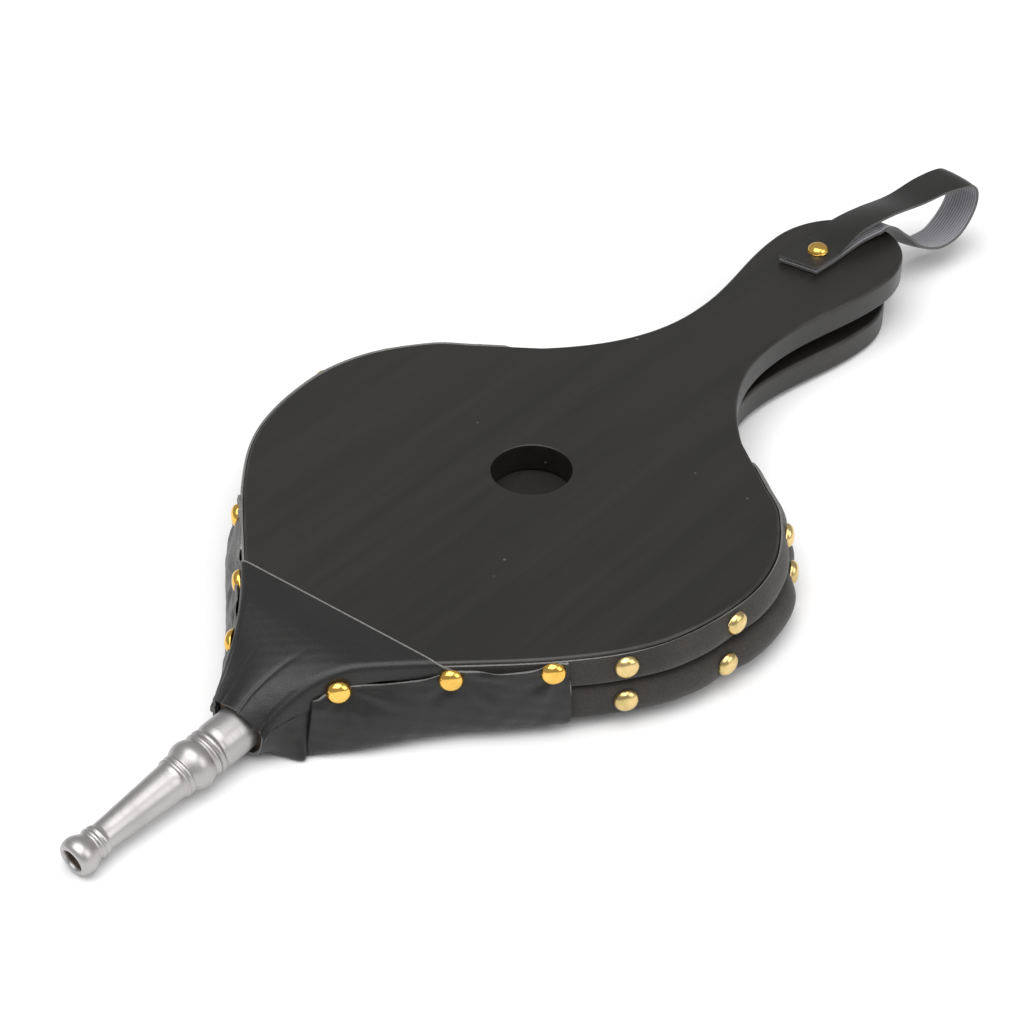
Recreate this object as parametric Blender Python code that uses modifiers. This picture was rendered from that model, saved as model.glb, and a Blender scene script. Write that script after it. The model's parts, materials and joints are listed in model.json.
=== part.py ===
"""Hand bellows: two paddle boards joined by folded leather, with a turned nozzle and a hanging strap.

Metres, +Z up. The lower board lies flat with its underside at z = 0, and the origin is on that underside,
under the centre of the air hole. +X runs to the handles and -X to the nozzle. The upper board turns about
its top nose edge, where the leather nose patch bends.
"""

import math

import bmesh
import bpy
import numpy as np
from mathutils import Matrix, Vector

# boards
BOARD_THICKNESS = 0.0095
BODY_HALF_WIDTH = 0.0856
NOSE_HOLLOW = 0.004
NECK_X = 0.106
NECK_HALF_WIDTH = 0.0161
HANDLE_HALF_WIDTH = 0.023
HANDLE_BULB_X = 0.160
HANDLE_END_LENGTH = 0.028
LOWER_HANDLE_SHORTER = 0.009
EDGE_ROUND = 0.0012
AIR_HOLE_RADIUS = 0.0125

# how the two boards sit
HINGE_X = -0.098
NOSE_GAP = 0.0025
REST_OPENING = math.radians(0.45)
FULL_OPENING = math.radians(24)

# nose block, its screws and the air channel
BLOCK_FRONT_X = -0.124
BLOCK_FRONT_HALF_WIDTH = 0.0095
BOARD_NOSE_X = -0.112
BLOCK_LAP_X = -0.1025
BLOCK_BOTTOM_Z = -0.0038
CHANNEL_RADIUS = 0.0035
CHANNEL_END_X = -0.072
CHANNEL_SILL = 0.001
SCREW_X = -0.107
SCREW_Y = 0.009
SCREW_RADIUS = 0.0015
SCREW_HEAD_RADIUS = 0.003
SCREW_LENGTH = 0.016

# nozzle
NOZZLE_DROOP = math.radians(4.55)
NOZZLE_ROOT_Z = 0.0037
NOZZLE_RADIUS = 0.0069
TENON_RADIUS = 0.005
TENON_LENGTH = 0.010
NOZZLE_BORE_RADIUS = 0.0028
RING_HEIGHT = 0.0005
BALL_RADIUS = 0.0077
BALL_MIDDLE = 0.0198
BALL_HALF_LENGTH = 0.0045
BALL_SPREAD = math.radians(50)

# leather
LEATHER = 0.0007
BAND_MARGIN = 0.0006
WRAP_LEATHER = 0.0008
GUSSET_END_X = 0.054
GUSSET_NOSE_X = -0.093
NECK_CROSSING_X = 0.062
NECK_CROSSING_BOW = 0.004
FOLD_SPARE = 0.001
WRAP_REAR_X_RIGHT = -0.062
WRAP_REAR_X_LEFT = -0.067
PATCH_REAR_X_RIGHT = -0.0815
PATCH_REAR_X_LEFT = -0.0885
PATCH_FRONT_X = -0.1275
PATCH_FRONT_HALF_WIDTH = 0.0105
WRAP_RISE_LENGTH = 0.02

# valve
FLAP_LEATHER = 0.0008
FLAP_WIDTH = 0.034
FLAP_HINGE_X = -0.021
FLAP_LENGTH = 0.039
FLAP_TAIL = 0.004
VALVE_TACK_Y = 0.011
VALVE_HEAD_RADIUS = 0.0025
VALVE_HEAD_HEIGHT = 0.0007
VALVE_SHANK_LENGTH = 0.006

# tacks
TACK_HEAD_RADIUS = 0.0037
TACK_HEAD_HEIGHT = 0.0026
TACK_SHANK_RADIUS = 0.0007
TACK_SHANK_LENGTH = 0.009
UPPER_TACKS_RIGHT_X = (-0.047, -0.013, 0.0275)
LOWER_TACKS_RIGHT_X = (-0.047, -0.017, 0.0255)
UPPER_TACKS_LEFT_X = (-0.002, 0.0200, 0.0410)
LOWER_TACKS_LEFT_X = (-0.002, 0.0200, 0.0410)
# (x, depth under the top face) of the tacks through the nose wrap
WRAP_TACKS_RIGHT = ((-0.0630, 0.0032), (-0.0825, 0.0041), (-0.1050, 0.0047))
WRAP_TACKS_LEFT = ((-0.0695, 0.0041), (-0.0910, 0.0041), (-0.1085, 0.0047))

# strap
STRAP_WIDTH = 0.0145
STRAP_THICKNESS = 0.0011
STRAP_TACK_X = HANDLE_BULB_X - 0.0036
STRAP_TACK_Y = 0.0033

CLEARANCE = 0.0003
OVERCUT = 0.005
MERGE = 0.00001

# half outline of the round body, from behind the nose to the shoulder: (x, share of BODY_HALF_WIDTH)
BODY_SHAPE = (
    (-0.0890, 0.395),
    (-0.0608, 0.737),
    (-0.0377, 0.926),
    (-0.0100, 1.000),
    (0.0122, 0.962),
    (0.0310, 0.824),
    (0.0405, 0.679),
    (0.0531, 0.475),
)
NECK_FLARE_POWER = 2.25


def finish(name, colour, roughness, metallic=0.0):
    material = bpy.data.materials.new(name)
    material.use_nodes = True
    shader = material.node_tree.nodes["Principled BSDF"]
    shader.inputs["Base Color"].default_value = (*colour, 1)
    shader.inputs["Roughness"].default_value = roughness
    shader.inputs["Metallic"].default_value = metallic
    return material


def new_collection(name):
    collection = bpy.data.collections.new(name)
    bpy.context.scene.collection.children.link(collection)
    return collection


def place(name, mesh, material=None, parent=None, collection=None):
    """Puts a mesh in the scene as one named object."""
    obj = bpy.data.objects.new(name, mesh)
    (collection or parts).objects.link(obj)
    if material and not mesh.materials:
        mesh.materials.append(material)
    obj.parent = parent
    return obj


def mesh_of(bm, name):
    mesh = bpy.data.meshes.new(name)
    bmesh.ops.recalc_face_normals(bm, faces=bm.faces)
    bm.to_mesh(mesh)
    bm.free()
    return mesh


def smooth(mesh, angle=40):
    mesh.shade_smooth()
    mesh.set_sharp_from_angle(angle=math.radians(angle))


def cut(obj, cutter, operation="DIFFERENCE"):
    cutter.hide_render = True
    cutter.display_type = "WIRE"
    modifier = obj.modifiers.new(cutter.name, "BOOLEAN")
    modifier.operation = operation
    modifier.solver = "EXACT"
    modifier.object = cutter


def loft(name, rings, cap=None):
    """A closed solid through rings of equal count. cap lists the corners of each end's faces."""
    bm = bmesh.new()
    rows = [[bm.verts.new(p) for p in ring] for ring in rings]
    count = len(rings[0])
    for a, b in zip(rows, rows[1:]):
        for i in range(count):
            j = (i + 1) % count
            bm.faces.new((a[i], a[j], b[j], b[i]))
    for row in (rows[0], rows[-1]):
        for corners in cap or [range(count)]:
            bm.faces.new([row[i] for i in corners])
    bmesh.ops.triangulate(bm, faces=bm.faces)
    return mesh_of(bm, name)


def rods(name, lines, radius, sides=12):
    """Round cutters along lines given by their two ends, as one object."""
    bm = bmesh.new()
    for start, end in lines:
        start, end = Vector(start), Vector(end)
        turn = (end - start).to_track_quat("Z", "Y").to_matrix().to_4x4()
        bmesh.ops.create_cone(
            bm,
            cap_ends=True,
            segments=sides,
            radius1=radius,
            radius2=radius,
            depth=(end - start).length,
            matrix=Matrix.Translation((start + end) / 2) @ turn,
        )
    return place(name, mesh_of(bm, name), collection=cutters)


def block_cutter(name, low, high):
    bm = bmesh.new()
    low, high = Vector(low), Vector(high)
    matrix = Matrix.Translation((low + high) / 2) @ Matrix.Diagonal((*(high - low), 1))
    bmesh.ops.create_cube(bm, size=1, matrix=matrix)
    return place(name, mesh_of(bm, name), collection=cutters)


def turned(name, profile, material, parent=None, steps=24):
    """A closed profile of (radius, height) points, turned round local Z."""
    bm = bmesh.new()
    verts = [bm.verts.new((r, 0, z)) for r, z in profile]
    for a, b in zip(verts, verts[1:]):
        bm.edges.new((a, b))
    if profile[0][0] > 0 and profile[-1][0] > 0:
        bm.edges.new((verts[-1], verts[0]))
    mesh = bpy.data.meshes.new(name)
    bm.to_mesh(mesh)
    bm.free()
    obj = place(name, mesh, material, parent)
    screw = obj.modifiers.new("turn", "SCREW")
    screw.axis = "Z"
    screw.steps = steps
    screw.render_steps = steps
    screw.use_merge_vertices = True
    screw.merge_threshold = MERGE
    screw.use_smooth_shade = True
    return obj


def flat_plate(name, outline, thickness, material, parent=None):
    """A flat outline extruded to thickness about z = 0, turned into a mesh."""
    curve = bpy.data.curves.new(name, "CURVE")
    curve.dimensions = "2D"
    curve.fill_mode = "BOTH"
    curve.extrude = thickness / 2
    spline = curve.splines.new("POLY")
    spline.points.add(len(outline) - 1)
    for point, (x, y) in zip(spline.points, outline):
        point.co = (x, y, 0, 1)
    spline.use_cyclic_u = True
    guide = bpy.data.objects.new(name + "_curve", curve)
    parts.objects.link(guide)
    bpy.context.view_layer.update()
    evaluated = guide.evaluated_get(bpy.context.evaluated_depsgraph_get())
    mesh = bpy.data.meshes.new_from_object(evaluated)
    mesh.name = name
    bpy.data.objects.remove(guide)
    bm = bmesh.new()
    bm.from_mesh(mesh)
    bmesh.ops.remove_doubles(bm, verts=bm.verts, dist=MERGE)
    bmesh.ops.recalc_face_normals(bm, faces=bm.faces)
    bm.to_mesh(mesh)
    bm.free()
    return place(name, mesh, material, parent)


def round_edges(obj, width=EDGE_ROUND, segments=2):
    bevel = obj.modifiers.new("round_edges", "BEVEL")
    bevel.width = width
    bevel.segments = segments
    bevel.limit_method = "ANGLE"
    bevel.angle_limit = math.radians(40)


# ---- outline of the boards ----


def spline_through(points, per_span):
    """Catmull-Rom curve through the points, whose ends keep their own direction."""
    p = [np.array(q, float) for q in points]
    p = [2 * p[0] - p[1]] + p + [2 * p[-1] - p[-2]]
    found = []
    for i in range(1, len(p) - 2):
        for k in range(per_span):
            t = k / per_span
            a, b, c, d = p[i - 1], p[i], p[i + 1], p[i + 2]
            bend = (2 * a - 5 * b + 4 * c - d) * t**2 + (3 * b - a - 3 * c + d) * t**3
            found.append(0.5 * (2 * b + (c - a) * t + bend))
    return found + [p[-2]]


def nose_half_width(x):
    """Half width of the pointed nose, ahead of the round body."""
    start_x, start_y = BODY_SHAPE[0][0], BODY_SHAPE[0][1] * BODY_HALF_WIDTH
    t = (start_x - x) / (start_x - BLOCK_FRONT_X)
    straight = start_y + (BLOCK_FRONT_HALF_WIDTH - start_y) * t
    hollow = NOSE_HOLLOW * math.sin(math.pi * min(max(t, 0), 1))
    return straight - hollow


def half_outline(nose_x, handle_shift=0.0, per_span=4):
    """Half outline with y above 0, from the nose end to the tip of the handle."""
    body = [(x, share * BODY_HALF_WIDTH) for x, share in BODY_SHAPE]
    nose_xs = np.linspace(nose_x, body[0][0], per_span, endpoint=False)
    points = [(float(x), nose_half_width(x)) for x in nose_xs]
    points += [tuple(p) for p in spline_through(body, per_span)]
    shoulder_x, shoulder_y = body[-1]
    neck_x, bulb_x = NECK_X - handle_shift, HANDLE_BULB_X - handle_shift
    steps = 3 * per_span
    for k in range(1, steps + 1):
        away = 1 - k / steps
        y = NECK_HALF_WIDTH + (shoulder_y - NECK_HALF_WIDTH) * away**NECK_FLARE_POWER
        points.append((shoulder_x + (neck_x - shoulder_x) * (1 - away), y))
    for k in range(1, 2 * per_span + 1):
        t = k / (2 * per_span)
        rise = 0.5 - 0.5 * math.cos(math.pi * t)
        y = NECK_HALF_WIDTH + (HANDLE_HALF_WIDTH - NECK_HALF_WIDTH) * rise
        points.append((neck_x + (bulb_x - neck_x) * t, y))
    for k in range(1, 2 * per_span + 1):
        a = 0.5 * math.pi * k / (2 * per_span)
        points.append((bulb_x + HANDLE_END_LENGTH * math.sin(a), HANDLE_HALF_WIDTH * math.cos(a)))
    points[-1] = (points[-1][0], 0.0)
    return points


def whole_outline(half):
    return half + [(x, -y) for x, y in reversed(half[:-1])]


FINE = np.array(half_outline(BLOCK_FRONT_X, per_span=24))


def half_width(x):
    return float(np.interp(x, FINE[:, 0], FINE[:, 1]))


def rim(x, side, offset=0.0):
    """The point of the body's edge at x on one side (1 or -1), moved outward, and the outward direction."""
    step = 0.002
    slope = (half_width(x + step) - half_width(x - step)) / (2 * step)
    outward = Vector((-slope, 1, 0)).normalized()
    point = Vector((x, half_width(x), 0)) + outward * offset
    return Vector((point.x, side * point.y, 0)), Vector((outward.x, side * outward.y, 0))


def stations(x0, x1, count):
    """x values at even steps along the body's edge."""
    xs = np.linspace(x0, x1, 400)
    ys = np.array([half_width(x) for x in xs])
    run = np.concatenate([[0], np.cumsum(np.hypot(np.diff(xs), np.diff(ys)))])
    return [float(v) for v in np.interp(np.linspace(0, run[-1], count), run, xs)]


# ---- scene set-up ----

for old in list(bpy.data.objects):
    bpy.data.objects.remove(old, do_unlink=True)
parts = new_collection("hand_bellows")
cutters = new_collection("cutters")

black_lacquer = finish("black_lacquer", (0.012, 0.011, 0.010), 0.45)
bare_wood = finish("bare_wood", (0.45, 0.30, 0.17), 0.7)
black_leather = finish("black_leather", (0.014, 0.014, 0.013), 0.5)
cast_aluminium = finish("cast_aluminium", (0.78, 0.78, 0.77), 0.4, 1.0)
polished_brass = finish("polished_brass", (0.85, 0.60, 0.20), 0.22, 1.0)
screw_steel = finish("screw_steel", (0.6, 0.6, 0.6), 0.35, 1.0)

HINGE_Z = 2 * BOARD_THICKNESS + NOSE_GAP
HINGE = Vector((HINGE_X, 0, HINGE_Z))
UPPER = Matrix.Translation(HINGE) @ Matrix.Rotation(-REST_OPENING, 4, "Y")

board_hinge = bpy.data.objects.new("board_hinge_axis", None)
parts.objects.link(board_hinge)
board_hinge.location = HINGE
board_hinge.rotation_euler = (0, -REST_OPENING, 0)


def on_upper(x, y, height):
    """A point over the upper board, in the world: height is measured from its top face."""
    return UPPER @ Vector((x - HINGE_X, y, height))


# ---- tacks ----


def dome_tack_profile():
    """Half section of a dome tack: (radius, height) from the top of the head to the point of the shank."""
    dome_radius = (TACK_HEAD_RADIUS**2 + TACK_HEAD_HEIGHT**2) / (2 * TACK_HEAD_HEIGHT)
    spread = math.asin(TACK_HEAD_RADIUS / dome_radius)
    steps = 4
    points = []
    for k in range(steps + 1):
        a = spread * k / steps
        height = TACK_HEAD_HEIGHT - dome_radius * (1 - math.cos(a))
        points.append((dome_radius * math.sin(a), height))
    points.append((TACK_SHANK_RADIUS, 0))
    points.append((TACK_SHANK_RADIUS, -TACK_SHANK_LENGTH + 2 * TACK_SHANK_RADIUS))
    points.append((0, -TACK_SHANK_LENGTH))
    return points


tack_model = turned("tack_model", dome_tack_profile(), polished_brass, steps=12)
tack_mesh = bpy.data.meshes.new_from_object(tack_model.evaluated_get(bpy.context.evaluated_depsgraph_get()))
bpy.data.objects.remove(tack_model)
smooth(tack_mesh)


def tack(name, seat, outward, parent=None):
    """A dome tack whose head rests at seat, with its head pointing outward."""
    obj = place(name, tack_mesh, parent=parent)
    obj.location = seat
    obj.rotation_euler = outward.to_track_quat("Z", "Y").to_euler()
    return obj


def tack_rows():
    """Every edge tack: name, x, side, leather under its head, depth below the top of the piece it is in."""
    band = CLEARANCE + LEATHER
    wrap = band + CLEARANCE + WRAP_LEATHER
    middle = BOARD_THICKNESS / 2
    rows = []
    right = (-1, "right", UPPER_TACKS_RIGHT_X, LOWER_TACKS_RIGHT_X, WRAP_TACKS_RIGHT)
    left = (1, "left", UPPER_TACKS_LEFT_X, LOWER_TACKS_LEFT_X, WRAP_TACKS_LEFT)
    for side, word, upper_tacks, lower_tacks, wrap_tacks in (right, left):
        for k, x in enumerate(upper_tacks, 1):
            rows.append((f"upper_tack_{word}_{k}", x, side, band, middle))
        for k, x in enumerate(lower_tacks, 1):
            rows.append((f"lower_tack_{word}_{k}", x, side, band, middle))
        for k, (x, depth) in enumerate(wrap_tacks, 1):
            rows.append((f"wrap_tack_{word}_{k}", x, side, wrap, depth))
    return rows


def nose_surface(x, y):
    """Top of the nose block: it falls from the boards' top to the nozzle, and its sides fall more."""
    t = min(max((HINGE_X - x) / (HINGE_X - PATCH_FRONT_X), 0), 1)
    high = HINGE_Z - CLEARANCE
    low = NOZZLE_ROOT_Z + NOZZLE_RADIUS + 2 * CLEARANCE
    return high + (low - high) * t**2 - t**3 * y * y / (2 * NOZZLE_RADIUS)


upper_shanks, lower_shanks, block_shanks = [], [], []
for name, x, side, layers, depth in tack_rows():
    seat, outward = rim(x, side, layers + CLEARANCE)
    tip = seat - outward * (TACK_SHANK_LENGTH + CLEARANCE)
    top = seat + outward * OVERCUT
    if name.startswith("lower"):
        shift, parent, shanks = Vector((0, 0, BOARD_THICKNESS - depth)), None, lower_shanks
    elif x > HINGE_X:
        shift, parent, shanks = Vector((-HINGE_X, 0, -depth)), board_hinge, upper_shanks
    else:
        shift, parent, shanks = Vector((0, 0, nose_surface(x, half_width(x)) - depth)), None, block_shanks
    tack(name, seat + shift, outward, parent)
    shanks.append((top + shift, tip + shift))
PILOT_RADIUS = TACK_SHANK_RADIUS + CLEARANCE
upper_pilots = rods("upper_pilots", upper_shanks, PILOT_RADIUS, 8)
upper_pilots.parent = board_hinge
lower_pilots = rods("lower_pilots", lower_shanks, PILOT_RADIUS, 8)
block_pilots = rods("block_pilots", block_shanks, PILOT_RADIUS, 8)

# ---- lower board ----

lower_half = half_outline(BOARD_NOSE_X, LOWER_HANDLE_SHORTER)
lower_board = flat_plate("lower_board", whole_outline(lower_half), BOARD_THICKNESS, black_lacquer)
lower_board.location.z = BOARD_THICKNESS / 2
round_edges(lower_board)
bore_at_board = NOZZLE_ROOT_Z + math.sin(NOZZLE_DROOP) * (BOARD_NOSE_X - BLOCK_FRONT_X)
channel_low = bore_at_board - CHANNEL_RADIUS + CHANNEL_SILL
channel = block_cutter(
    "air_channel",
    (BOARD_NOSE_X - OVERCUT, -CHANNEL_RADIUS, channel_low),
    (CHANNEL_END_X, CHANNEL_RADIUS, BOARD_THICKNESS + OVERCUT),
)
screw_places = [Vector((SCREW_X, side * SCREW_Y, 0)) for side in (-1, 1)]
screw_top = Vector((0, 0, SCREW_LENGTH + 2 * CLEARANCE))
screw_lines = [(p - Vector((0, 0, OVERCUT)), p + screw_top) for p in screw_places]
screw_holes = rods("screw_holes", screw_lines, SCREW_RADIUS + CLEARANCE)


def countersinks():
    """Cone seats in the underside of the lower board, wider than the screw heads by the clearance."""
    bm = bmesh.new()
    depth = SCREW_HEAD_RADIUS - SCREW_RADIUS
    for p in screw_places:
        bmesh.ops.create_cone(
            bm,
            cap_ends=True,
            segments=16,
            radius1=SCREW_HEAD_RADIUS + 2 * CLEARANCE + OVERCUT,
            radius2=SCREW_RADIUS + 2 * CLEARANCE,
            depth=depth + OVERCUT,
            matrix=Matrix.Translation(p + Vector((0, 0, CLEARANCE + (depth - OVERCUT) / 2))),
        )
    return place("screw_seats", mesh_of(bm, "screw_seats"), collection=cutters)


for cutter in (channel, screw_holes, countersinks(), lower_pilots):
    cut(lower_board, cutter)

# ---- upper board ----

upper_half = [(x - HINGE_X, y) for x, y in half_outline(HINGE_X)]
upper_outline = whole_outline(upper_half)
upper_board = flat_plate("upper_board", upper_outline, BOARD_THICKNESS, black_lacquer, board_hinge)
upper_board.location.z = -BOARD_THICKNESS / 2
round_edges(upper_board)
air_hole = rods(
    "air_hole",
    [((-HINGE_X, 0, OVERCUT), (-HINGE_X, 0, -BOARD_THICKNESS - OVERCUT))],
    AIR_HOLE_RADIUS,
    48,
)
air_hole.parent = board_hinge
STRAP_SEAT = Vector((STRAP_TACK_X - HINGE_X, STRAP_TACK_Y, 0))
VALVE_SEATS = [Vector((FLAP_HINGE_X - HINGE_X, side * VALVE_TACK_Y, -BOARD_THICKNESS)) for side in (-1, 1)]
strap_shank_depth = TACK_SHANK_LENGTH - 2 * STRAP_THICKNESS - 3 * CLEARANCE
face_pilots = rods(
    "face_pilots",
    [(STRAP_SEAT + Vector((0, 0, OVERCUT)), STRAP_SEAT - Vector((0, 0, strap_shank_depth + CLEARANCE)))]
    + [(p - Vector((0, 0, OVERCUT)), p + Vector((0, 0, VALVE_SHANK_LENGTH))) for p in VALVE_SEATS],
    PILOT_RADIUS,
    8,
)
face_pilots.parent = board_hinge
for cutter in (air_hole, upper_pilots, face_pilots):
    cut(upper_board, cutter)

# ---- nose block ----


def block_section(x):
    y = nose_half_width(x)
    top = [(x, share * y, nose_surface(x, share * y)) for share in np.linspace(1, -1, 9)]
    return [(x, -y, BLOCK_BOTTOM_Z), (x, y, BLOCK_BOTTOM_Z), *top]


block_xs = np.linspace(BLOCK_FRONT_X, BLOCK_LAP_X, 7)
nose_block = place("nose_block", loft("nose_block", [block_section(x) for x in block_xs]), bare_wood)
rebate = block_cutter(
    "block_rebate",
    (BOARD_NOSE_X - CLEARANCE, -BODY_HALF_WIDTH, BLOCK_BOTTOM_Z - OVERCUT),
    (BLOCK_LAP_X + OVERCUT, BODY_HALF_WIDTH, BOARD_THICKNESS + CLEARANCE),
)
nozzle_root = Vector((BLOCK_FRONT_X, 0, NOZZLE_ROOT_Z))
nozzle_way = Vector((-math.cos(NOZZLE_DROOP), 0, -math.sin(NOZZLE_DROOP)))
socket = rods(
    "nozzle_socket",
    [(nozzle_root + nozzle_way * OVERCUT, nozzle_root - nozzle_way * (TENON_LENGTH + CLEARANCE))],
    TENON_RADIUS + CLEARANCE,
    24,
)
block_bore = rods(
    "block_bore",
    [(nozzle_root, nozzle_root - nozzle_way * (BOARD_NOSE_X - BLOCK_FRONT_X + OVERCUT))],
    CHANNEL_RADIUS,
    16,
)
for cutter in (rebate, socket, block_bore, screw_holes, block_pilots):
    cut(nose_block, cutter)


def screw_profile():
    slope = SCREW_HEAD_RADIUS - SCREW_RADIUS
    return [
        (0, SCREW_LENGTH),
        (SCREW_RADIUS, SCREW_LENGTH - 2 * SCREW_RADIUS),
        (SCREW_RADIUS, slope),
        (SCREW_HEAD_RADIUS, 0),
        (0, 0),
    ]


for k, p in enumerate(screw_places, 1):
    screw = turned(f"block_screw_{k}", screw_profile(), screw_steel, steps=16)
    screw.location = p + Vector((0, 0, CLEARANCE))

# ---- nozzle ----


def ring(start, radius, width):
    """Three points of one small raised ring on the nozzle."""
    groove = radius - RING_HEIGHT
    steps = ((groove, 0), (radius, 0.3), (radius, 0.7), (groove, 1))
    return [(r, start - width * share) for r, share in steps]


def nozzle_profile():
    """(radius, distance ahead of the nose block), outside from the tip back to the tenon, then the bore."""
    shoulder = CLEARANCE + NOZZLE_RADIUS * math.tan(NOZZLE_DROOP)
    ball = []
    for k in range(7):
        a = BALL_SPREAD * (1 - k / 3)
        rise = BALL_HALF_LENGTH * math.sin(a) / math.sin(BALL_SPREAD)
        ball.append((BALL_RADIUS * math.cos(a), BALL_MIDDLE + rise))
    outside = [
        (NOZZLE_BORE_RADIUS, 0.0638),
        (0.0041, 0.0641),
        (0.0051, 0.0632),
        (0.0057, 0.0615),
        (0.0058, 0.0598),
        (0.0053, 0.0578),
        (0.0045, 0.0560),
        *ring(0.0555, 0.0047, 0.0015),
        *ring(0.0536, 0.0046, 0.0015),
        (0.0042, 0.0515),
        (0.0056, 0.0272),
        *ring(0.0266, 0.0061, 0.0014),
        *ring(0.0250, 0.0062, 0.0012),
        *ball,
        *ring(0.0153, 0.0070, 0.0012),
        *ring(0.0138, 0.0070, 0.0012),
        (NOZZLE_RADIUS - RING_HEIGHT, 0.0118),
        (NOZZLE_RADIUS, 0.0090),
        (NOZZLE_RADIUS, shoulder),
        (TENON_RADIUS, shoulder),
        (TENON_RADIUS, -TENON_LENGTH),
    ]
    bore = [(CHANNEL_RADIUS, -TENON_LENGTH), (CHANNEL_RADIUS, 0.012)]
    return outside + bore


nozzle = turned("nozzle", nozzle_profile(), cast_aluminium, steps=24)
nozzle.location = nozzle_root
nozzle.rotation_euler = nozzle_way.to_track_quat("Z", "Y").to_euler()

# ---- bellows leather: bands on the boards' edges and a fold between them ----

FOLD_CENTRE = Vector((-0.005, 0, 0))


def fold_depth(x):
    """How far the fold reaches in at x: half of the leather that the full opening needs there."""
    return (x - HINGE_X) * math.tan(FULL_OPENING / 2) + FOLD_SPARE


STUB = 0.00015
# the faces that close an end of the gusset: band, leg, fold, leg, band
GUSSET_CAP = ((1, 2, 3, 4), (0, 1, 4, 5), (0, 5, 6, 11), (11, 6, 7, 10), (7, 8, 9, 10))


def gusset_section(outer, inner, banded):
    """Section of the leather: upper band, leg in under its board, leg out over the other, lower band."""
    inward = (FOLD_CENTRE - inner).normalized()
    deep = inner + inward * fold_depth(inner.x)
    crease = deep - inward * LEATHER
    upper_face = -BOARD_THICKNESS - CLEARANCE
    lower_face = BOARD_THICKNESS + CLEARANCE
    high = -BAND_MARGIN if banded else upper_face + STUB
    low = BAND_MARGIN if banded else lower_face - STUB
    upper_part = [on_upper(p.x, p.y, h) for p, h in ((deep, upper_face), (inner, upper_face), (inner, high))]
    upper_part += [on_upper(outer.x, outer.y, high)]
    upper_part += [on_upper(p.x, p.y, upper_face - LEATHER) for p in (outer, crease)]
    lower_part = [(crease, lower_face + LEATHER), (outer, lower_face + LEATHER), (outer, low), (inner, low)]
    lower_part += [(inner, lower_face), (deep, lower_face)]
    return upper_part + [Vector((p.x, p.y, h)) for p, h in lower_part]


def gusset_rings():
    """From the nose along the right edge, across the neck between the handles, back along the left edge."""
    xs = stations(GUSSET_NOSE_X, GUSSET_END_X, 30)
    edges = [(rim(x, -1, CLEARANCE + LEATHER)[0], rim(x, -1, CLEARANCE)[0], True) for x in xs]
    past = GUSSET_END_X + CLEARANCE
    edges.append((rim(past, -1, CLEARANCE + LEATHER)[0], rim(past, -1, CLEARANCE)[0], False))
    reach = half_width(GUSSET_END_X) - NECK_CROSSING_BOW
    for k in range(5):
        y = reach * (k / 4 - 1)
        outer = Vector((NECK_CROSSING_X - NECK_CROSSING_BOW * (y / reach) ** 2, y, 0))
        edges.append((outer, outer + (FOLD_CENTRE - outer).normalized() * LEATHER, False))
    flip = Vector((1, -1, 1))
    back = [(outer * flip, inner * flip, banded) for outer, inner, banded in reversed(edges[:-1])]
    return [gusset_section(*edge) for edge in edges + back]


bellows_leather = place("bellows_leather", loft("bellows_leather", gusset_rings(), GUSSET_CAP), black_leather)
for cutter in (upper_pilots, lower_pilots):
    cut(bellows_leather, cutter)

# ---- nose wrap: leather under the nose and up both sides ----


def wrap_top(x, y):
    if x > HINGE_X:
        return on_upper(x, y, -BAND_MARGIN).z
    return nose_surface(x, y) - BAND_MARGIN


WRAP_INSIDE = 2 * CLEARANCE + LEATHER


def wrap_side(name, side, rear_x):
    rings = []
    for x in stations(BLOCK_FRONT_X, rear_x, 16):
        inner, _ = rim(x, side, WRAP_INSIDE)
        outer, _ = rim(x, side, WRAP_INSIDE + WRAP_LEATHER)
        high = wrap_top(x, inner.y)
        low = wrap_bottom(x)
        rings.append([(p.x, p.y, z) for p, z in ((inner, low), (outer, low), (outer, high), (inner, high))])
    return loft(name, rings)


def wrap_bottom(x):
    """Underside of the wrap: it drops from the lower board to pass under the nose block."""
    t = min(max((x - BOARD_NOSE_X) / WRAP_RISE_LENGTH, 0), 1)
    ease = t * t * (3 - 2 * t)
    deep = BLOCK_BOTTOM_Z - CLEARANCE - WRAP_LEATHER
    flat = -CLEARANCE - WRAP_LEATHER
    return deep + (flat - deep) * ease


def wrap_floor(name):
    """The part of the wrap that passes under the nose block."""
    rings = []
    for x in stations(BLOCK_FRONT_X, BOARD_NOSE_X - CLEARANCE, 4):
        right, _ = rim(x, -1, WRAP_INSIDE + WRAP_LEATHER / 2)
        left, _ = rim(x, 1, WRAP_INSIDE + WRAP_LEATHER / 2)
        low = wrap_bottom(x)
        high = low + WRAP_LEATHER
        rings.append([(p.x, p.y, z) for p, z in ((right, low), (left, low), (left, high), (right, high))])
    return loft(name, rings)


nose_wrap = place("nose_wrap", wrap_side("nose_wrap", -1, WRAP_REAR_X_RIGHT), black_leather)
cut(nose_wrap, place("wrap_left", wrap_side("wrap_left", 1, WRAP_REAR_X_LEFT), collection=cutters), "UNION")
cut(nose_wrap, place("wrap_floor", wrap_floor("wrap_floor"), collection=cutters), "UNION")
for cutter in (upper_pilots, block_pilots):
    cut(nose_wrap, cutter)

# ---- nose patch: leather over the joint between the upper board and the nose block ----


def patch_height(x, y):
    if x > HINGE_X:
        return on_upper(x, y, CLEARANCE).z
    return nose_surface(x, y) + 2 * CLEARANCE


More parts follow.
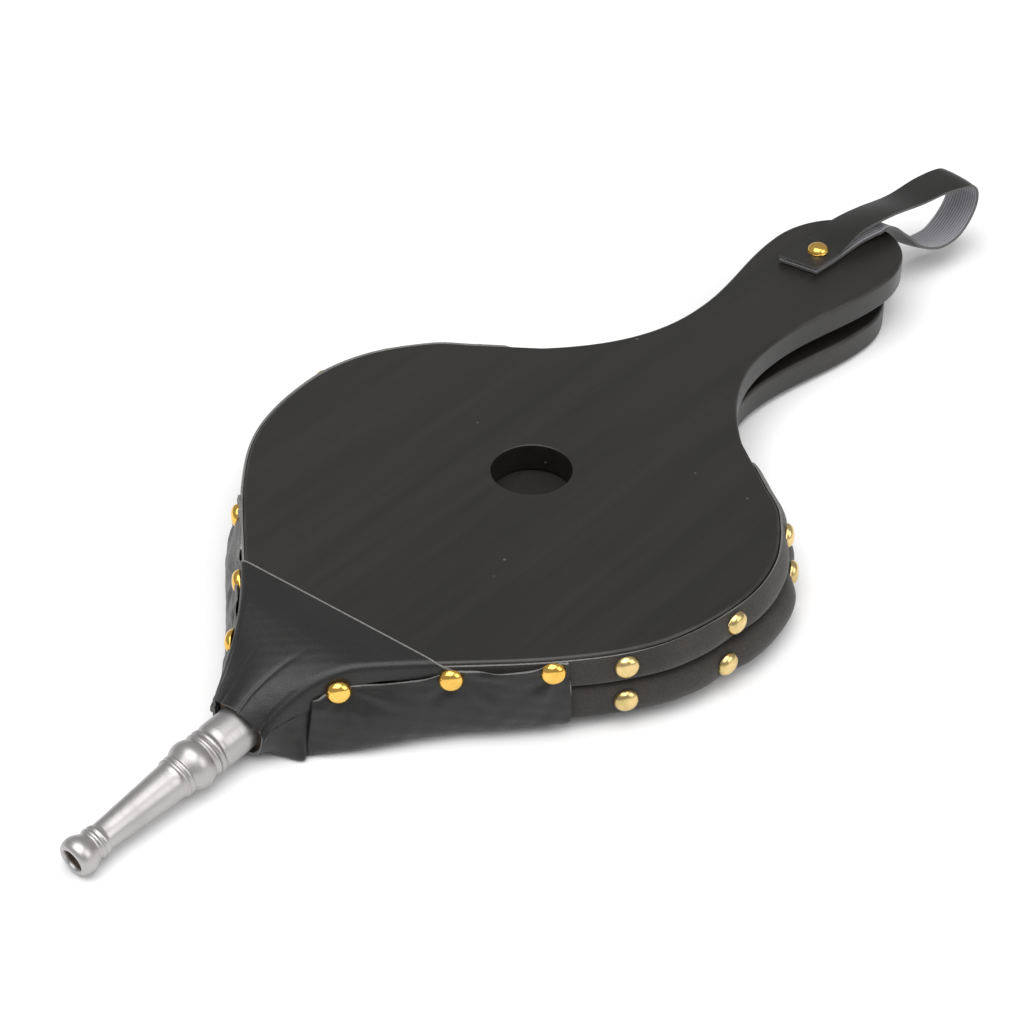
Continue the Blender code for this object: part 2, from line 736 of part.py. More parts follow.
def patch_rings():
    """Sections across the patch, from the cut rear edge to the mouth at the nozzle."""
    rings, across, along = [], 8, 14
    rear_middle = (PATCH_REAR_X_RIGHT + PATCH_REAR_X_LEFT) / 2
    rear_slant = (PATCH_REAR_X_RIGHT - PATCH_REAR_X_LEFT) / 2
    for i in range(along + 1):
        t = i / along
        row = []
        for k in range(across + 1):
            share = 2 * k / across - 1
            rear = rear_middle - rear_slant * share
            x = rear + (PATCH_FRONT_X - rear) * t
            wide = half_width(x) if x > BLOCK_FRONT_X else PATCH_FRONT_HALF_WIDTH
            y = share * wide
            row.append(Vector((x, y, patch_height(x, y))))
        rings.append(row + [p + Vector((0, 0, WRAP_LEATHER)) for p in reversed(row)])
    return rings


nose_patch = place("nose_patch", loft("nose_patch", patch_rings()), black_leather)

# ---- valve flap, inside under the air hole ----

flap_axis = bpy.data.objects.new("flap_axis", None)
parts.objects.link(flap_axis)
flap_axis.parent = board_hinge
flap_axis.location = (FLAP_HINGE_X - HINGE_X, 0, -BOARD_THICKNESS - CLEARANCE - FLAP_LEATHER / 2)


def flap_outline():
    """A tongue with a square tail at the tacks and a round free end."""
    half = FLAP_WIDTH / 2
    middle = FLAP_LENGTH - half
    points = [(-FLAP_TAIL, -half)]
    for k in range(13):
        a = math.pi * (k / 12 - 0.5)
        points.append((middle + half * math.cos(a), half * math.sin(a)))
    return points + [(-FLAP_TAIL, half)]


valve_flap = flat_plate("valve_flap", flap_outline(), FLAP_LEATHER, black_leather, flap_axis)
flap_holes = rods(
    "flap_holes",
    [((0, side * VALVE_TACK_Y, -OVERCUT), (0, side * VALVE_TACK_Y, OVERCUT)) for side in (-1, 1)],
    TACK_SHANK_RADIUS + CLEARANCE,
    8,
)
flap_holes.parent = flap_axis
cut(valve_flap, flap_holes)

for k, p in enumerate(VALVE_SEATS, 1):
    grip = FLAP_LEATHER + 2 * CLEARANCE
    profile = [
        (0, VALVE_SHANK_LENGTH + grip - CLEARANCE),
        (TACK_SHANK_RADIUS, VALVE_SHANK_LENGTH + grip - CLEARANCE - 2 * TACK_SHANK_RADIUS),
        (TACK_SHANK_RADIUS, 0),
        (VALVE_HEAD_RADIUS, 0),
        (VALVE_HEAD_RADIUS, -VALVE_HEAD_HEIGHT),
        (0, -VALVE_HEAD_HEIGHT),
    ]
    valve_tack = turned(f"valve_tack_{k}", profile, screw_steel, board_hinge, steps=12)
    valve_tack.location = p - Vector((0, 0, grip))

# ---- strap ----

strap_axis = bpy.data.objects.new("strap_axis", None)
parts.objects.link(strap_axis)
strap_axis.parent = board_hinge
strap_axis.location = STRAP_SEAT

LOWER_LAYER = CLEARANCE + STRAP_THICKNESS / 2
UPPER_LAYER = LOWER_LAYER + STRAP_THICKNESS + CLEARANCE
# middle line of the strap from its upper end:
# (distance from the tack, sideways, height over the board, twist in degrees)
STRAP_ROUTE = (
    (-0.0100, 0.0012, UPPER_LAYER, 0),
    (0.0000, 0.0006, UPPER_LAYER, 0),
    (0.0042, 0.0006, UPPER_LAYER, 0),
    (0.0080, 0.0005, 0.0030, -5),
    (0.0182, 0.0001, 0.0046, -10),
    (0.0303, -0.0027, 0.0056, -11),
    (0.0445, -0.0058, 0.0052, -10),
    (0.0582, -0.0088, 0.0064, -2),
    (0.0692, -0.0119, 0.0056, 6),
    (0.0745, -0.0121, -0.0005, 13),
    (0.0726, -0.0123, -0.0070, 13),
    (0.0664, -0.0124, -0.0118, 11),
    (0.0585, -0.0126, -0.0134, 10),
    (0.0508, -0.0107, -0.0135, 8),
    (0.0430, -0.0088, -0.0100, 5),
    (0.0365, -0.0070, -0.0032, 0),
    (0.0308, -0.0051, 0.0027, -5),
    (0.0260, -0.0032, 0.0034, -9),
    (0.0190, -0.0013, 0.0026, -9),
    (0.0125, -0.0003, 0.0019, -6),
    (0.0070, 0.0002, LOWER_LAYER + CLEARANCE, -2),
    (0.0000, 0.0006, LOWER_LAYER, 0),
    (-0.0100, 0.0012, LOWER_LAYER, 0),
)


def strap_rings():
    line = spline_through(STRAP_ROUTE, 3)
    rings = []
    for k, (distance, sideways, height, twist) in enumerate(line):
        before, after = line[max(k - 1, 0)], line[min(k + 1, len(line) - 1)]
        along = Vector(after[:3] - before[:3]).normalized()
        across = (Vector((0, 1, 0)) - along * along.y).normalized()
        away = along.cross(across)
        turn = math.radians(twist)
        edge_way = (across * math.cos(turn) + away * math.sin(turn)) * STRAP_WIDTH / 2
        face_way = (away * math.cos(turn) - across * math.sin(turn)) * STRAP_THICKNESS / 2
        middle = Vector((distance, sideways, height))
        corners = ((-1, 1), (1, 1), (1, -1), (-1, -1))
        rings.append([middle + edge_way * w + face_way * t for w, t in corners])
    return rings


strap = place("strap", loft("strap", strap_rings()), black_leather, strap_axis)
strap_hole = rods("strap_hole", [((0, 0, -OVERCUT), (0, 0, OVERCUT))], TACK_SHANK_RADIUS + CLEARANCE, 8)
strap_hole.parent = strap_axis
cut(strap, strap_hole)
strap_top = STRAP_SEAT + Vector((0, 0, 2 * STRAP_THICKNESS + 3 * CLEARANCE))
tack("strap_tack", strap_top, Vector((0, 0, 1)), board_hinge)

bpy.context.view_layer.update()
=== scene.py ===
# Hand bellows: black lacquered boards, folded leather, brass tacks, a turned nozzle and a hanging strap.
# Metres, +Z up, +X to the handles and -X to the nozzle.
import json
import math

import bmesh
import bpy
import numpy as np
from mathutils import Matrix, Vector


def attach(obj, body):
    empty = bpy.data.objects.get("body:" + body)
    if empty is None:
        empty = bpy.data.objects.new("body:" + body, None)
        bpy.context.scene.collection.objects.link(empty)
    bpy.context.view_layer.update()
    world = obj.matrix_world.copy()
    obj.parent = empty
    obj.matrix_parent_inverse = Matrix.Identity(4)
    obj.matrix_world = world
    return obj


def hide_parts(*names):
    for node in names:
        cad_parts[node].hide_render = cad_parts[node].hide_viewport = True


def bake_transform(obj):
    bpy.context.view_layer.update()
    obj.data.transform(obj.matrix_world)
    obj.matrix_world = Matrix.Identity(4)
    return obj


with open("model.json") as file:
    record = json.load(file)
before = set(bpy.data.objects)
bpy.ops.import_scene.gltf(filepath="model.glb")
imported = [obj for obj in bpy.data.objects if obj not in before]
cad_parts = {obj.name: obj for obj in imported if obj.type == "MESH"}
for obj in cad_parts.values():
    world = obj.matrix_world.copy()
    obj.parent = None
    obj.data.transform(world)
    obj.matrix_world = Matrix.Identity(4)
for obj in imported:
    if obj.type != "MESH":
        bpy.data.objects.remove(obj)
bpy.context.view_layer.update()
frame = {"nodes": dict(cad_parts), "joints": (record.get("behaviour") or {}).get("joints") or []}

hinge = Vector(next(j for j in frame["joints"] if j["name"] == "board_hinge")["pos_m"])
restTilt = math.radians(0.45)  # how far the upper board stands open at rest
upperPlace = Matrix.Translation(hinge) @ Matrix.Rotation(-restTilt, 4, "Y")
mm = 0.001

boards = {
    "thickness": 0.0095,
    "halfWidth": 0.0856,
    "noseHollow": 0.004,
    "neckX": 0.106,
    "neckHalfWidth": 0.0161,
    "handleHalfWidth": 0.023,
    "bulbX": 0.160,
    "endLength": 0.028,
    "lowerShorter": 0.009,
    "lowerNoseX": -0.112,
    "blockFrontX": -0.124,
    "blockFrontHalf": 0.0095,
    "edgeRound": 0.0013,
    "airHole": 0.0125,
    "flarePower": 2.25,
    # (x, share of halfWidth) from behind the nose to the shoulder
    "body": (
        (-0.0890, 0.395), (-0.0608, 0.737), (-0.0377, 0.926), (-0.0100, 1.000),
        (0.0122, 0.962), (0.0310, 0.824), (0.0405, 0.679), (0.0531, 0.475),
    ),
}


def smoothLine(points, perSpan):
    # Catmull-Rom through points of any size
    p = [np.array(q, float) for q in points]
    p = [2 * p[0] - p[1]] + p + [2 * p[-1] - p[-2]]
    found = []
    for i in range(1, len(p) - 2):
        a, b, c, d = p[i - 1], p[i], p[i + 1], p[i + 2]
        for k in range(perSpan):
            t = k / perSpan
            bend = (2 * a - 5 * b + 4 * c - d) * t**2 + (3 * b - a - 3 * c + d) * t**3
            found.append(0.5 * (2 * b + (c - a) * t + bend))
    return found + [p[-2]]


def noseHalf(x):
    v = boards
    startX, startY = v["body"][0][0], v["body"][0][1] * v["halfWidth"]
    t = (startX - x) / (startX - v["blockFrontX"])
    straight = startY + (v["blockFrontHalf"] - startY) * t
    return straight - v["noseHollow"] * math.sin(math.pi * min(max(t, 0), 1))


def halfOutline(noseX, shorter=0.0, perSpan=16):
    v = boards
    body = [(x, share * v["halfWidth"]) for x, share in v["body"]]
    points = [(float(x), noseHalf(x)) for x in np.linspace(noseX, body[0][0], perSpan, endpoint=False)]
    points += [tuple(p) for p in smoothLine(body, perSpan)]
    shoulderX, shoulderY = body[-1]
    neckX, bulbX = v["neckX"] - shorter, v["bulbX"] - shorter
    steps = 3 * perSpan
    for k in range(1, steps + 1):
        away = 1 - k / steps
        y = v["neckHalfWidth"] + (shoulderY - v["neckHalfWidth"]) * away ** v["flarePower"]
        points.append((shoulderX + (neckX - shoulderX) * (1 - away), y))
    for k in range(1, 2 * perSpan + 1):
        t = k / (2 * perSpan)
        rise = 0.5 - 0.5 * math.cos(math.pi * t)
        points.append((neckX + (bulbX - neckX) * t,
            v["neckHalfWidth"] + (v["handleHalfWidth"] - v["neckHalfWidth"]) * rise))
    for k in range(1, 2 * perSpan + 1):
        a = 0.5 * math.pi * k / (2 * perSpan)
        points.append((bulbX + v["endLength"] * math.sin(a), v["handleHalfWidth"] * math.cos(a)))
    points[-1] = (points[-1][0], 0.0)
    return points


fineRim = np.array(halfOutline(boards["blockFrontX"], perSpan=24))


def halfWidth(x):
    return float(np.interp(x, fineRim[:, 0], fineRim[:, 1]))


def rimPoint(x, side, out=0.0):
    # point of the body's edge in plan, moved outward, and the outward direction
    step = 0.002
    slope = (halfWidth(x + step) - halfWidth(x - step)) / (2 * step)
    away = Vector((-slope, 1, 0)).normalized()
    p = Vector((x, halfWidth(x), 0)) + away * out
    return Vector((p.x, side * p.y, 0)), Vector((away.x, side * away.y, 0))


def topHeight(x):
    # height of the upper board's top face
    return hinge.z + (x - hinge.x) * math.tan(restTilt)


def noseTop(x, y):
    # top of the nose block: it falls from the boards' top to the nozzle, and its sides fall more
    t = min(max((hinge.x - x) / 0.0295, 0), 1)
    return 0.0212 - 0.0100 * t**2 - t**3 * y * y / 0.0138


def ease(t):
    t = min(max(t, 0.0), 1.0)
    return t * t * (3 - 2 * t)


def besideRim(x, side, out):
    # the point at this x that stands out from the rim by that much
    along = x
    for _ in range(4):
        p, _ = rimPoint(max(along, boards["blockFrontX"]), side, out)
        if p.x > x and along <= boards["blockFrontX"]:
            break
        along += x - p.x
    return Vector((x, p.y, 0))


def evenStations(x0, x1, count):
    xs = np.linspace(x0, x1, 800)
    ys = np.array([halfWidth(x) for x in xs])
    run = np.concatenate([[0], np.cumsum(np.hypot(np.diff(xs), np.diff(ys)))])
    return [float(v) for v in np.interp(np.linspace(0, run[-1], count), run, xs)]


def linkNew(name, mesh, materials=()):
    obj = bpy.data.objects.new(name, mesh)
    bpy.context.scene.collection.objects.link(obj)
    for m in materials:
        mesh.materials.append(m)
    return obj


def plainMesh(obj):
    # applies what the modifiers do and leaves a plain mesh
    bpy.context.view_layer.update()
    shape = obj.evaluated_get(bpy.context.evaluated_depsgraph_get())
    mesh = bpy.data.meshes.new_from_object(shape)
    old = obj.data
    obj.modifiers.clear()
    obj.data = mesh
    mesh.name = obj.name
    if old.users == 0:
        bpy.data.meshes.remove(old)
    return obj


def finishMesh(bm, name):
    mesh = bpy.data.meshes.new(name)
    bm.to_mesh(mesh)
    bm.free()
    return mesh


def joinRings(bm, rings):
    # the faces between each ring of vertices and the next, band by band
    bands = []
    for a, b in zip(rings, rings[1:]):
        pairs = [(k, (k + 1) % len(a)) for k in range(len(a))]
        bands.append([bm.faces.new((a[k], a[j], b[j], b[k])) for k, j in pairs])
    return bands


def gridMesh(name, rows, uv=None, skived=()):
    # a sheet through rows of points, with a UV map in metres if uv(i, k) is given;
    # the strips that start at the rows in skived take the cut edge's finish
    bm = bmesh.new()
    made = [[bm.verts.new(p) for p in row] for row in rows]
    layer = bm.loops.layers.uv.new("sheet") if uv else None
    for i in range(len(rows) - 1):
        for k in range(len(rows[0]) - 1):
            corners = ((i, k), (i + 1, k), (i + 1, k + 1), (i, k + 1))
            face = bm.faces.new([made[a][b] for a, b in corners])
            face.material_index = 2 if i in skived else 0
            if uv:
                for loop, (a, b) in zip(face.loops, corners):
                    loop[layer].uv = uv(a, b)
    return finishMesh(bm, name)


def thickSheet(name, mesh, thickness, materials, flip=False):
    # leather of even thickness: slot 0 is the outer face, 1 the inner face, 2 the cut edge
    obj = linkNew(name, mesh, materials)
    if flip:
        mesh.flip_normals()
    wall = obj.modifiers.new("wall", "SOLIDIFY")
    wall.thickness = thickness
    wall.offset = 0
    wall.material_offset = 1
    wall.material_offset_rim = 2
    wall.use_rim = True
    plainMesh(obj)
    obj.data.shade_smooth()
    obj.data.set_sharp_from_angle(angle=math.radians(50))
    return obj


class Wires:
    # short way to add and join nodes in one tree
    def __init__(self, tree):
        self.tree = tree

    def add(self, kind, values=None, **settings):
        node = self.tree.nodes.new(kind)
        for key, value in settings.items():
            setattr(node, key, value)
        for key, value in (values or {}).items():
            self.fill(node.inputs[key], value)
        return node

    def fill(self, socket, value):
        # joins another node's output, or sets a constant
        if isinstance(value, bpy.types.NodeSocket):
            self.tree.links.new(value, socket)
        else:
            socket.default_value = value

    def join(self, a, b):
        self.tree.links.new(a, b)

    def sum(self, kind, a, b=0.5, clamp=False):
        node = self.add("ShaderNodeMath", operation=kind, use_clamp=clamp)
        self.fill(node.inputs[0], a)
        self.fill(node.inputs[1], b)
        return node.outputs[0]

    def times(self, a, b, clamp=False):
        return self.sum("MULTIPLY", a, b, clamp)

    def vector(self, kind, a, b=(0, 0, 0)):
        values = {0: a, "Scale" if kind == "SCALE" else 1: b}
        return self.add("ShaderNodeVectorMath", values, operation=kind).outputs[0]

    def span(self, value, low, high, toLow=0.0, toHigh=1.0):
        values = {"Value": value, "From Min": low, "From Max": high, "To Min": toLow, "To Max": toHigh}
        return self.add("ShaderNodeMapRange", values, clamp=True).outputs[0]

    def blend(self, share, a, b):
        node = self.add("ShaderNodeMix", data_type="RGBA")
        for key, value in ((0, share), (6, a), (7, b)):
            self.fill(node.inputs[key], value)
        return node.outputs[2]

    def noise(self, where, scale, detail=3.0, rough=0.55):
        values = {"Scale": scale, "Detail": detail, "Roughness": rough}
        node = self.add("ShaderNodeTexNoise", values)
        if where is not None:
            self.join(where, node.inputs["Vector"])
        return node.outputs["Fac"]


def newGroup(name, inputs, outputs):
    # every group takes the place, "Where", and then its own inputs with their usual values
    tree = bpy.data.node_groups.new(name, "ShaderNodeTree")
    tree.interface.new_socket(name="Where", in_out="INPUT", socket_type="NodeSocketVector")
    for label, value in inputs.items():
        kind = "NodeSocketVector" if isinstance(value, tuple) else "NodeSocketFloat"
        tree.interface.new_socket(name=label, in_out="INPUT", socket_type=kind).default_value = value
    for label in outputs:
        tree.interface.new_socket(name=label, in_out="OUTPUT", socket_type="NodeSocketFloat")
    wires = Wires(tree)
    return tree, wires, wires.add("NodeGroupInput").outputs, wires.add("NodeGroupOutput").inputs


def newFinish(name, **sockets):
    material = bpy.data.materials.new(name)
    material.use_nodes = True
    shader = material.node_tree.nodes["Principled BSDF"]
    for label, value in sockets.items():
        shader.inputs[label.replace("_", " ")].default_value = value
    wires = Wires(material.node_tree)
    where = wires.add("ShaderNodeTexCoord").outputs["Object"]
    return material, wires, shader.inputs, where


def useGroup(wires, tree, where, **values):
    node = wires.add("ShaderNodeGroup", node_tree=tree)
    wires.join(where, node.inputs["Where"])
    for label, value in values.items():
        wires.fill(node.inputs[label.replace("_", " ")], value)
    return node.outputs


def relief(wires, height, strength, distance, sockets):
    bump = wires.add("ShaderNodeBump", {"Height": height, "Strength": strength, "Distance": distance})
    wires.join(bump.outputs[0], sockets["Normal"])


# wood grain that shows faintly through lacquer: long along X
woodGrain, w, i, o = newGroup("woodGrain", {"Length": 9.0, "Fineness": 900.0}, ("Figure", "Pores"))
stretch = w.add("ShaderNodeCombineXYZ", {"X": i["Length"], "Y": 120.0, "Z": 120.0}).outputs[0]
along = w.vector("MULTIPLY", i["Where"], stretch)
w.join(w.noise(along, 1.0, 4.0, 0.6), o["Figure"])
thin = w.add("ShaderNodeCombineXYZ", {"X": 30.0, "Y": i["Fineness"], "Z": i["Fineness"]}).outputs[0]
pores = w.vector("MULTIPLY", i["Where"], thin)
w.join(w.span(w.noise(pores, 1.0, 2.0, 0.5), 0.52, 0.78), o["Pores"])

# lint and dust: a few small pale specks and a broad uneven film
dustFilm, w, i, o = newGroup("dustFilm", {"Speck size": 260.0, "Amount": 0.1}, ("Specks", "Film"))
cells = w.add("ShaderNodeTexVoronoi", {"Vector": i["Where"], "Scale": i["Speck size"], "Randomness": 1.0})
chosen = w.span(w.add("ShaderNodeSeparateColor", {"Color": cells.outputs["Color"]}).outputs[0], 0.985, 0.99)
near = w.span(cells.outputs["Distance"], 0.06, 0.16, 1.0, 0.0)
w.join(w.times(w.times(chosen, near), i["Amount"], True), o["Specks"])
w.join(w.noise(i["Where"], 22.0, 5.0, 0.65), o["Film"])

# pebbled leather: pores between small cells, with fine creases over them
leatherGrain, w, i, o = newGroup(
    "leatherGrain", {"Pebbles": 1100.0, "Crease": 0.3}, ("Height", "Pores", "Mottle"))
wobble = w.add("ShaderNodeTexNoise", {"Vector": i["Where"], "Scale": 180.0, "Detail": 2.0}).outputs["Color"]
shifted = w.vector("SCALE", wobble, 0.0012)
moved = w.vector("ADD", i["Where"], shifted)
pebble = w.add("ShaderNodeTexVoronoi", {"Vector": moved, "Scale": i["Pebbles"]}, feature="DISTANCE_TO_EDGE")
poreMask = w.span(pebble.outputs["Distance"], 0.0, 0.12, 1.0, 0.0)
long = w.vector("MULTIPLY", moved, (0.5, 1.0, 3.2))
creases = w.span(w.noise(long, 260.0, 4.0, 0.7), 0.42, 0.62)
bumpy = w.sum("SUBTRACT", w.times(creases, i["Crease"]), w.times(poreMask, 0.35))
w.join(bumpy, o["Height"])
w.join(poreMask, o["Pores"])
w.join(w.noise(i["Where"], 34.0, 4.0, 0.6), o["Mottle"])

# rubbing along edges, from the mesh's own "edge" attribute broken up by noise
edgeRub, w, i, o = newGroup("edgeRub", {"Edge": 0.0, "Patchiness": 60.0}, ("Mask",))
broken = w.span(w.noise(i["Where"], i["Patchiness"], 5.0, 0.7), 0.40, 0.66)
w.join(w.times(broken, i["Edge"], True), o["Mask"])

# very fine scratches in one plane, for metal and lacquer
scratches, w, i, o = newGroup("scratches", {"Scale": 400.0, "Stretch": (1.0, 0.05, 1.0)}, ("Lines",))
drawn = w.vector("MULTIPLY", i["Where"], i["Stretch"])
w.join(w.span(w.noise(drawn, i["Scale"], 3.0, 0.6), 0.35, 0.7), o["Lines"])


def makeLacquer():
    v = {"dark": (0.0085, 0.0078, 0.0070, 1), "warm": (0.0135, 0.0120, 0.0104, 1),
        "rub": (0.05, 0.045, 0.04, 1), "rough": (0.34, 0.46)}
    material, w, s, where = newFinish("blackLacquer", IOR=1.50)
    grain = useGroup(w, woodGrain, where, Length=7.0)
    dust = useGroup(w, dustFilm, where, Amount=0.5)
    edge = w.add("ShaderNodeAttribute", attribute_name="edge").outputs["Fac"]
    rub = useGroup(w, edgeRub, where, Edge=edge, Patchiness=70.0)["Mask"]
    lines = useGroup(w, scratches, where, Scale=240.0, Stretch=(0.06, 1.0, 1.0))["Lines"]
    colour = w.blend(w.span(grain["Figure"], 0.35, 0.65), v["dark"], v["warm"])
    colour = w.blend(w.times(dust["Specks"], 0.8), colour, (0.25, 0.24, 0.22, 1))
    colour = w.blend(w.times(rub, 0.45), colour, v["rub"])
    w.join(colour, s["Base Color"])
    worn = w.sum("ADD", w.times(dust["Film"], 0.7), w.times(lines, 0.3))
    w.join(w.span(worn, 0.2, 0.8, *v["rough"]), s["Roughness"])
    height = w.sum("ADD", w.times(grain["Figure"], 0.5), w.times(grain["Pores"], -0.25))
    relief(w, height, 0.16, 0.0003, s)
    return material


def makeLeather(name, dark, pale, rough, pebbles, crease, sheen=0.0, depth=0.00022):
    material, w, s, where = newFinish(name, IOR=1.46, Sheen_Weight=sheen, Sheen_Roughness=0.5)
    grain = useGroup(w, leatherGrain, where, Pebbles=pebbles, Crease=crease)
    dust = useGroup(w, dustFilm, where, Amount=0.35)
    colour = w.blend(w.span(grain["Mottle"], 0.35, 0.68), dark, pale)
    colour = w.blend(w.times(grain["Pores"], 0.35), colour, tuple(0.5 * c for c in dark[:3]) + (1,))
    colour = w.blend(w.times(dust["Specks"], 0.7), colour, (0.2, 0.2, 0.19, 1))
    w.join(colour, s["Base Color"])
    mixed = w.sum("ADD", w.times(dust["Film"], 0.6), w.times(grain["Pores"], 0.4))
    w.join(w.span(mixed, 0.15, 0.75, *rough), s["Roughness"])
    relief(w, grain["Height"], 0.25, depth, s)
    return material


def makeCutEdge(name, dark, pale):
    material, w, s, where = newFinish(name, IOR=1.45)
    fibres = w.noise(where, 2600.0, 4.0, 0.7)
    w.join(w.blend(w.span(fibres, 0.35, 0.65), dark, pale), s["Base Color"])
    w.join(w.span(fibres, 0.3, 0.7, 0.62, 0.85), s["Roughness"])
    relief(w, fibres, 0.4, 0.0002, s)
    return material


def makeAluminium():
    v = {"base": (0.50, 0.485, 0.48, 1), "dull": (0.38, 0.368, 0.368, 1), "rough": (0.32, 0.46)}
    material, w, s, where = newFinish("castAluminium", Metallic=0.90, IOR=1.5)
    dust = useGroup(w, dustFilm, where, Amount=0.3)
    lines = useGroup(w, scratches, where, Scale=1500.0, Stretch=(1.0, 0.06, 0.06))["Lines"]
    pits = w.span(w.noise(where, 1900.0, 3.0, 0.6), 0.30, 0.62)
    w.join(w.blend(w.span(dust["Film"], 0.3, 0.7), v["base"], v["dull"]), s["Base Color"])
    both = w.sum("ADD", w.times(lines, 0.5), w.times(dust["Film"], 0.5))
    w.join(w.span(both, 0.2, 0.8, *v["rough"]), s["Roughness"])
    relief(w, w.sum("ADD", w.times(lines, 0.4), pits), 0.10, 0.0001, s)
    return material


def makeSoot():
    material, w, s, where = newFinish("nozzleBore", Metallic=0.3)
    flakes = w.noise(where, 700.0, 4.0, 0.65)
    w.join(w.blend(w.span(flakes, 0.3, 0.7), (0.050, 0.034, 0.024, 1), (0.15, 0.115, 0.09, 1)),
        s["Base Color"])
    w.join(w.span(flakes, 0.3, 0.7, 0.6, 0.9), s["Roughness"])
    relief(w, flakes, 0.4, 0.0003, s)
    return material


def makeBrass(name, clean, stained, rough, amount):
    material, w, s, where = newFinish(name, Metallic=1.0)
    film = w.noise(where, 150.0, 4.0, 0.6)
    spots = w.noise(where, 900.0, 3.0, 0.6)
    tarnish = w.times(w.span(film, 0.42, 0.68), amount, True)
    w.join(w.blend(tarnish, clean, stained), s["Base Color"])
    lines = useGroup(w, scratches, where, Scale=1800.0, Stretch=(1.0, 0.2, 1.0))["Lines"]
    w.join(w.span(w.sum("ADD", w.times(lines, 0.4), w.times(film, 0.6)), 0.2, 0.8, *rough), s["Roughness"])
    relief(w, spots, 0.05, 0.0001, s)
    return material


def makeBacking():
    # grey woven backing: ribs along the strap with fine cross threads
    v = {"ribs": 900.0, "cross": 1700.0, "pale": (0.40, 0.395, 0.42, 1), "deep": (0.13, 0.128, 0.142, 1)}
    material, w, s, where = newFinish("wovenBacking", Sheen_Weight=0.2, Sheen_Roughness=0.6)
    uv = w.add("ShaderNodeUVMap", uv_map="sheet").outputs[0]
    parts = w.add("ShaderNodeSeparateXYZ", {"Vector": uv})
    wobble = w.noise(uv, 160.0, 2.0)
    across = w.sum("ADD", parts.outputs["X"], w.times(wobble, 0.0003))
    rib = w.sum("SINE", w.times(across, 2 * math.pi * v["ribs"]))
    thread = w.sum("SINE", w.times(parts.outputs["Y"], 2 * math.pi * v["cross"]))
    ribMask = w.span(rib, -0.9, 0.1)
    mask = w.times(ribMask, w.span(thread, -1.0, 1.0, 0.72, 1.0))
    mottle = w.noise(where, 300.0, 3.0)
    w.join(w.blend(w.times(mask, w.span(mottle, 0.3, 0.7, 0.8, 1.0)), v["deep"], v["pale"]), s["Base Color"])
    w.join(w.span(mottle, 0.3, 0.7, 0.78, 0.92), s["Roughness"])
    relief(w, w.sum("ADD", ribMask, w.times(thread, 0.2)), 0.5, 0.0003, s)
    return material


def makeWoodPaintedShade():
    material, w, s, where = newFinish("bareWoodPaintedShade")
    grain = useGroup(w, woodGrain, where, Length=20.0, Fineness=1300.0)
    # the dark brown of both tones is painted shade for the shadowed mouth round the nozzle; the grain figure
    # and the darker pores are the wood's own
    colour = w.blend(w.span(grain["Figure"], 0.3, 0.7), (0.080, 0.050, 0.030, 1), (0.15, 0.095, 0.055, 1))
    w.join(w.blend(w.times(grain["Pores"], 0.5), colour, (0.03, 0.018, 0.010, 1)), s["Base Color"])
    w.join(w.span(grain["Figure"], 0.3, 0.7, 0.6, 0.75), s["Roughness"])
    relief(w, grain["Pores"], 0.3, 0.0003, s)
    return material


def makeSteel():
    material, w, s, where = newFinish("screwSteel", Metallic=1.0)
    lines = useGroup(w, scratches, where, Scale=1600.0, Stretch=(1.0, 0.1, 1.0))["Lines"]
    film = w.noise(where, 300.0, 4.0)
    w.join(w.blend(w.span(film, 0.3, 0.7), (0.56, 0.56, 0.55, 1), (0.36, 0.34, 0.31, 1)), s["Base Color"])
    w.join(w.span(lines, 0.0, 1.0, 0.28, 0.45), s["Roughness"])
    relief(w, lines, 0.06, 0.0001, s)
    return material


lacquer = makeLacquer()
bandLeather = makeLeather("bandLeather", (0.0085, 0.0085, 0.0080, 1), (0.013, 0.0128, 0.012, 1),
    (0.30, 0.42), 1500.0, 0.12, depth=0.00012)
wrapLeather = makeLeather("wrapLeather", (0.0085, 0.0085, 0.0082, 1), (0.0135, 0.0135, 0.013, 1),
    (0.32, 0.46), 1250.0, 0.40, depth=0.00018)
strapFace = makeLeather("strapFace", (0.010, 0.0095, 0.009, 1), (0.016, 0.015, 0.014, 1), (0.30, 0.42),
    1900.0, 0.10, depth=0.00012)
flesh = makeLeather("leatherFlesh", (0.022, 0.019, 0.017, 1), (0.042, 0.038, 0.034, 1), (0.82, 0.95), 900.0,
    0.8, sheen=0.15)
# valve flap leather: its extra-dark tone is painted shade, so the air hole over it reads as shadowed; the
# mottle between its two tones is its own
flapLeatherPaintedShade = makeLeather("flapLeatherPaintedShade", (0.006, 0.005, 0.004, 1), (0.011, 0.009, 0.007, 1), (0.74, 0.88),
    1300.0, 0.4)
cutEdge = makeCutEdge("cutEdge", (0.10, 0.10, 0.097, 1), (0.24, 0.235, 0.23, 1))
strapEdge = makeCutEdge("strapEdge", (0.035, 0.034, 0.033, 1), (0.16, 0.155, 0.15, 1))
aluminium = makeAluminium()
bore = makeSoot()
brightBrass = makeBrass("brightBrass", (0.90, 0.56, 0.13, 1), (0.66, 0.36, 0.06, 1), (0.12, 0.22), 0.6)
dullBrass = makeBrass("dullBrass", (0.78, 0.58, 0.26, 1), (0.40, 0.33, 0.13, 1), (0.20, 0.34), 0.8)
backing = makeBacking()
wood = makeWoodPaintedShade()
steel = makeSteel()
print("finishes made:", len(bpy.data.materials))


